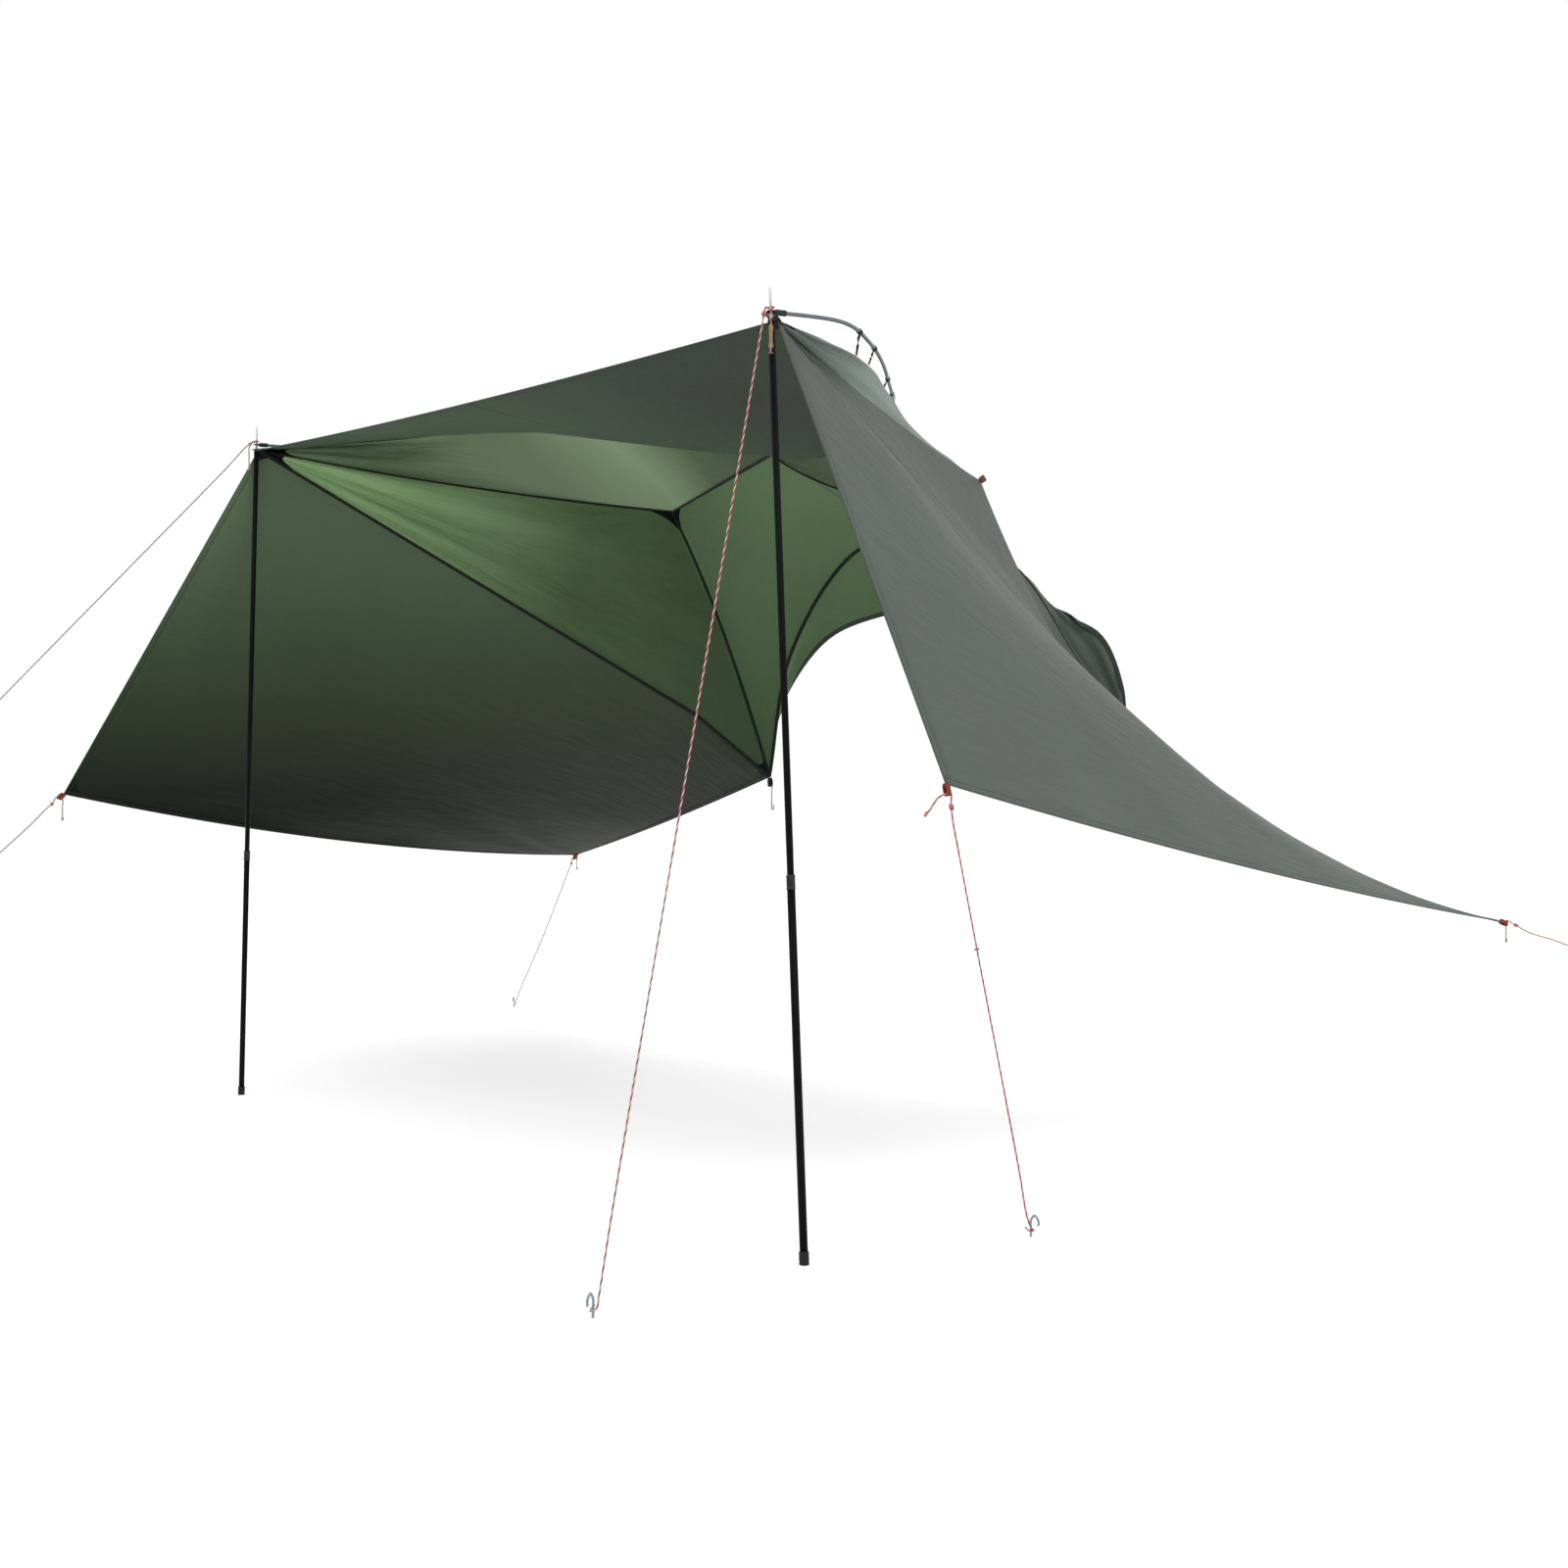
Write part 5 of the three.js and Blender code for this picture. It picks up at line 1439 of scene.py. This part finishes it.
# Which way each loop pulls, the direction out of its cloth, its webbing, and its lift off the corner
LOOPS = {
    "front_right": ((0.18, 0.08, -1), RIGHT_FACE, "red_webbing", 0.0),
    "front_left": ((-0.73, -0.38, -0.57), LEFT_FACE, "red_webbing", 0.0),
    "wing_right": ((0.6, 0.7, -0.35), RIGHT_FACE, "red_webbing", 0.0),
    "wing_left": ((-0.7, 0.14, -0.7), LEFT_FACE, "red_webbing", 0.0),
    "back_left": ((0.05, 0.05, -1), REAR_FACE, "black_webbing", LOOP_SEWN + 4 * CLEAR),
}
for corner, settings in LOOPS.items():
    webbing_loop(corner, *settings)


def crown_normal(side):
    """The direction straight out of the canopy at a crown corner."""
    corners = {
        f"roof_{side}_panel": (ROOF_SEAM_SHARE if side == "left" else 1 - ROOF_SEAM_SHARE, 0.01),
        f"side_{side}_panel": (0.99, 0.01),
        "rear_panel": (0.01 if side == "left" else 0.99, 0.01),
    }
    total = np.zeros(3)
    for panel, (u, v) in corners.items():
        total += normals_of(PANEL[panel], np.array([u]), np.array([v]))[0]
    return unit(total)


for side in ("left", "right"):
    webbing_loop(f"crown_{side}", crown_normal(side), RIGHT_FACE, "brown_webbing", 0.0015,
                 CROWN_LOOP_LENGTH, follow=side)


# Ropes, knots, runners, hook and pegs

ROPE_STEPS = 10
ROPE_SIDES = 14
# A knot's pitch, the radius of its turns and that of its strand, as shares of the rope's diameter
KNOT_PITCH = 0.98
KNOT_RADIUS = 1.02
KNOT_STRAND = 0.48
KNOT_STEPS = 26
TAIL_END_RADIUS = 0.005
TAIL_END_LENGTH = 0.016
TAIL_END_SIZES = (0.55, 0.85, 1.0, 1.0, 0.86, 0.92, 1.0, 1.0, 0.86, 0.92, 1.0, 0.98, 0.8, 0.55)
# The point of a top guy's route where its sleeve starts
SLEEVE_FROM = 3
RUNNER_STEPS = 28


def rope(node, material, diameter=ROPE_DIAMETER, follow=None):
    """A guy rope along its own route."""
    line = spline(ROUTES[node], ROPE_STEPS)
    name = node.replace("_guy", "_rope").replace("_line", "_cord")
    obj = tube(name, line, diameter / 2, material, ROPE_SIDES)
    settle(obj, [node], follow=follow)
    round(length_of(line), 4)


def knot(name, node, index, material, turns, follow):
    """A few turns of the rope wound round its own strand at a point of the route."""
    spots = np.array(ROUTES[node], float)
    centre = spots[index]
    axis = unit(spots[index + 1] - spots[index])
    side = unit(np.cross(axis, [0.3, 1.0, 0.2]))
    other = np.cross(axis, side)
    angles = np.linspace(0, 2 * math.pi * turns, KNOT_STEPS * turns)
    height = (angles / (2 * math.pi * turns) - 0.5) * turns * ROPE_DIAMETER * KNOT_PITCH
    ring = ROPE_DIAMETER * KNOT_RADIUS
    line = (centre + axis * (height[:, None] + turns * ROPE_DIAMETER / 2)
            + ring * (np.cos(angles)[:, None] * side + np.sin(angles)[:, None] * other))
    return settle(tube(name, line, ROPE_DIAMETER * KNOT_STRAND, material, 12), follow=follow)


def tail_end(name, node, material, length, follow):
    """The knotted end of a rope's tail: a short fat twist over its cut end."""
    end, following = np.array(ROUTES[node][:2], float)
    line = np.linspace(end, end + unit(following - end) * length, len(TAIL_END_SIZES))
    obj = tube(name, line, TAIL_END_RADIUS, material, ROPE_SIDES, np.array(TAIL_END_SIZES))
    return settle(obj, follow=follow)


def loop_sleeve(name, node, last, follow):
    """A red braid drawn over the rope where it loops round the pole's pin."""
    line = spline(ROUTES[node], ROPE_STEPS)[SLEEVE_FROM * ROPE_STEPS:last * ROPE_STEPS]
    return settle(tube(name, line, ROPE_DIAMETER * 0.53, "red_rope", 16), follow=follow)


def guy(node, label, material, knot_at, turns=3, knot_rope="red_rope",
        tail_length=TAIL_END_LENGTH, sleeve_to=None, fittings=(), follow=None):
    """A guy rope with all that is on it: fittings, knot, sleeve and the end of its tail."""
    pieces = [*fittings, knot(f"{label}_knot", node, knot_at, knot_rope, turns, follow)]
    if sleeve_to:
        pieces.append(loop_sleeve(f"{label}_loop_sleeve", node, sleeve_to, follow))
    pieces.append(tail_end(f"{label}_tail_end", node, material, tail_length, follow))
    rope(node, material, follow=follow)


def flat_runner():
    """The slider on the front guy: a plate with round ends and two holes."""
    spots = np.array(ROUTES["front_right_guy"])
    centre = spots[RUNNER_POINT]
    way = unit(spots[RUNNER_POINT + 1] - spots[RUNNER_POINT - 1])
    low, high = (np.array(corner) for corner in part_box("front_runner"))
    middle = (low + high) / 2
    out = unit((middle - centre) - np.dot(middle - centre, way) * way)
    side = np.cross(way, out)
    width, thickness, reach = 0.014, 0.006, 0.034
    limit = (reach - width) / 2
    parts = []
    for hole_at, hole, turn in ((0.0, 0.0033, 1), (reach - width, 0.0028, -1)):
        outer = []
        for x, y in circle(1.0, RUNNER_STEPS):
            rim = width / 2
            if x * turn > 0:
                rim = min(rim / max(abs(y), TINY), limit / max(x * turn, TINY))
            outer.append((hole_at + x * rim, y * rim))
        inner = circle(hole, RUNNER_STEPS) + np.array([hole_at, 0.0])
        parts.append(ring_plate(centre, (out, side, way), inner, np.array(outer), thickness, "tan"))
    obj = joined_piece("flat_runner", parts)
    tidy_mesh(obj)
    bevelled(obj, 0.0008)
    return settle(obj, ["front_runner"], body="guy_runner")


def hanging_runner():
    """A long tubular runner with a waist and lips, hanging on the top guy's tail."""
    centre = np.array(ROUTES["right_top_guy"][1])
    half, bore = 0.03, 0.0033
    outer = 0.0065
    obj = turned("hanging_runner", centre, UP, [
        (bore, -half), (outer - 0.001, -half), (outer, -half + 0.001), (outer, -half + 0.006),
        (outer * 0.8, -half + 0.012), (outer * 0.74, 0), (outer * 0.8, half - 0.012), (outer, half - 0.006),
        (outer, half - 0.001), (outer - 0.001, half), (bore, half), (bore, -half)], "tan", 32)
    return settle(obj, ["tail_runner"], body="loose_runner")


def peg(node, rope_name, away):
    """A bent steel peg head that stands out of the ground inside its rope's turn."""
    away = unit(np.array([*away, 0.0]))
    x, y, _ = np.array(ROUTES[rope_name][PEG_TURN]) - away * (ROPE_DIAMETER / 2 + PEG_RADIUS + PEG_PLAY)
    rise, reach, drop = 0.045, 0.022, 0.014
    spot = lambda out, height: np.array([x, y, height]) + away * out
    line = spline([spot(0, 0), spot(0, rise / 2), spot(0, rise), spot(reach / 2, rise + drop),
                   spot(reach, rise), spot(reach, rise - drop)], 12)
    size = np.ones(len(line))
    size[-3:] = (0.97, 0.85, 0.6)
    obj = tube(node.replace("_peg", "_steel_peg"), line, PEG_RADIUS, "steel", 20, size)
    return settle(obj, [node])


def line_hook():
    """The moulded hook on the short cord at the back corner."""
    end = np.array(ROUTES["hook_line"][-1])
    reach, height = 0.012, 0.03
    spot = lambda x, z: end + np.array([x, 0, z - CLEAR])
    line = spline([spot(0, 0), spot(0, -height / 2), spot(0, -height), spot(reach / 2, -height - reach / 2),
                   spot(reach, -height), spot(reach, -height / 2)], 10)
    size = np.ones(len(line))
    size[:4] = (1.0, 1.0, 0.98, 0.95)
    size[-4:] = (0.95, 0.9, 0.8, 0.6)
    obj = tube("moulded_hook", line, 0.002, "red_plastic", 16, size)
    return settle(obj, ["line_hook"])


PEGS = {
    "right_top": peg("right_top_peg", "right_top_guy", (0.336, -0.942)),
    "front_right": peg("front_right_peg", "front_right_guy", (0.925, 0.379)),
    "wing_left": peg("wing_left_peg", "wing_left_guy", (-0.981, 0.193)),
}
RUNNER = flat_runner()
TAIL_RUNNER = hanging_runner()
HOOK = line_hook()
guy("right_top_guy", "top_right", "tan_rope", 8, 2,
    tail_length=0.005, sleeve_to=8, fittings=[TAIL_RUNNER, PEGS["right_top"]], follow="right")
guy("left_top_guy", "top_left", "pale_rope", 7, 2, sleeve_to=7, follow="left")
guy("front_right_guy", "front_right", "red_rope", 5,
    fittings=[RUNNER, PEGS["front_right"]])
guy("front_left_guy", "front_left", "pale_rope", 4, 2)
guy("wing_right_guy", "wing_right", "orange_rope", 4, knot_rope="orange_rope")
guy("wing_left_guy", "wing_left", "brown_rope", 4, 2, fittings=[PEGS["wing_left"]])
rope("hook_line", "red_rope", HOOK_LINE_DIAMETER)


# Floor, light and camera

FLOOR_SIDE = 60.0
FLOOR_GLOW = 0.56
SKY_STRENGTH = 0.63
KEY_STRENGTH = 0.7
KEY_ANGLE = 25
KEY_TURN = (38, 0, 75)
CAMERA_CLIP = 200


def showing(nodes):
    """One for the rays that show a surface as it is, nought for those that only carry its light."""
    path = nodes.add("ShaderNodeLightPath").outputs
    seen = nodes.math("MAXIMUM", path["Is Camera Ray"], path["Is Glossy Ray"])
    return nodes.math("MAXIMUM", seen, path["Is Transmission Ray"])


def floor():
    half = FLOOR_SIDE / 2
    corners = [(-half, -half, 0), (half, -half, 0), (half, half, 0), (-half, half, 0)]
    obj = piece("floor", corners, [(0, 1, 2, 3)], flat=True)
    nodes = Nodes(bpy.data.materials.new("pale_floor"))
    obj.data.materials.append(nodes.finish((0.8, 0.8, 0.8), 0.9, specular=0.1))
    nodes.put((1, 1, 1), nodes.shader.inputs["Emission Color"])
    nodes.put(nodes.math("MULTIPLY", showing(nodes), FLOOR_GLOW), nodes.shader.inputs["Emission Strength"])


def sky():
    world = bpy.data.worlds.new("studio")
    bpy.context.scene.world = world
    nodes = Nodes(world)
    back = nodes.tree.nodes["Background"]
    nodes.put((1, 1, 1), back.inputs["Color"])
    nodes.put(nodes.spread(showing(nodes), SKY_STRENGTH, 1.0), back.inputs["Strength"])


def lamp(name, energy, angle, rotation):
    data = bpy.data.lights.new(name, "SUN")
    data.energy = energy
    data.angle = math.radians(angle)
    obj = bpy.data.objects.new(name, data)
    obj.rotation_euler = [math.radians(a) for a in rotation]
    bpy.context.scene.collection.objects.link(obj)


def camera():
    data = bpy.data.cameras.new("camera")
    data.sensor_width = SENSOR_WIDTH
    data.sensor_fit = "HORIZONTAL"
    data.lens = FOCAL_PX * SENSOR_WIDTH / PHOTO_SIDE_PX
    data.shift_y = (HORIZON_PX - PHOTO_SIDE_PX / 2) / PHOTO_SIDE_PX
    data.clip_end = CAMERA_CLIP
    obj = bpy.data.objects.new("camera", data)
    obj.location = CAMERA_AT
    obj.rotation_euler = (math.radians(90), 0, math.radians(CAMERA_AZIMUTH))
    bpy.context.scene.collection.objects.link(obj)
    bpy.context.scene.camera = obj


floor()
sky()
lamp("key", KEY_STRENGTH, KEY_ANGLE, KEY_TURN)
camera()
bpy.context.scene.view_settings.view_transform = "Standard"
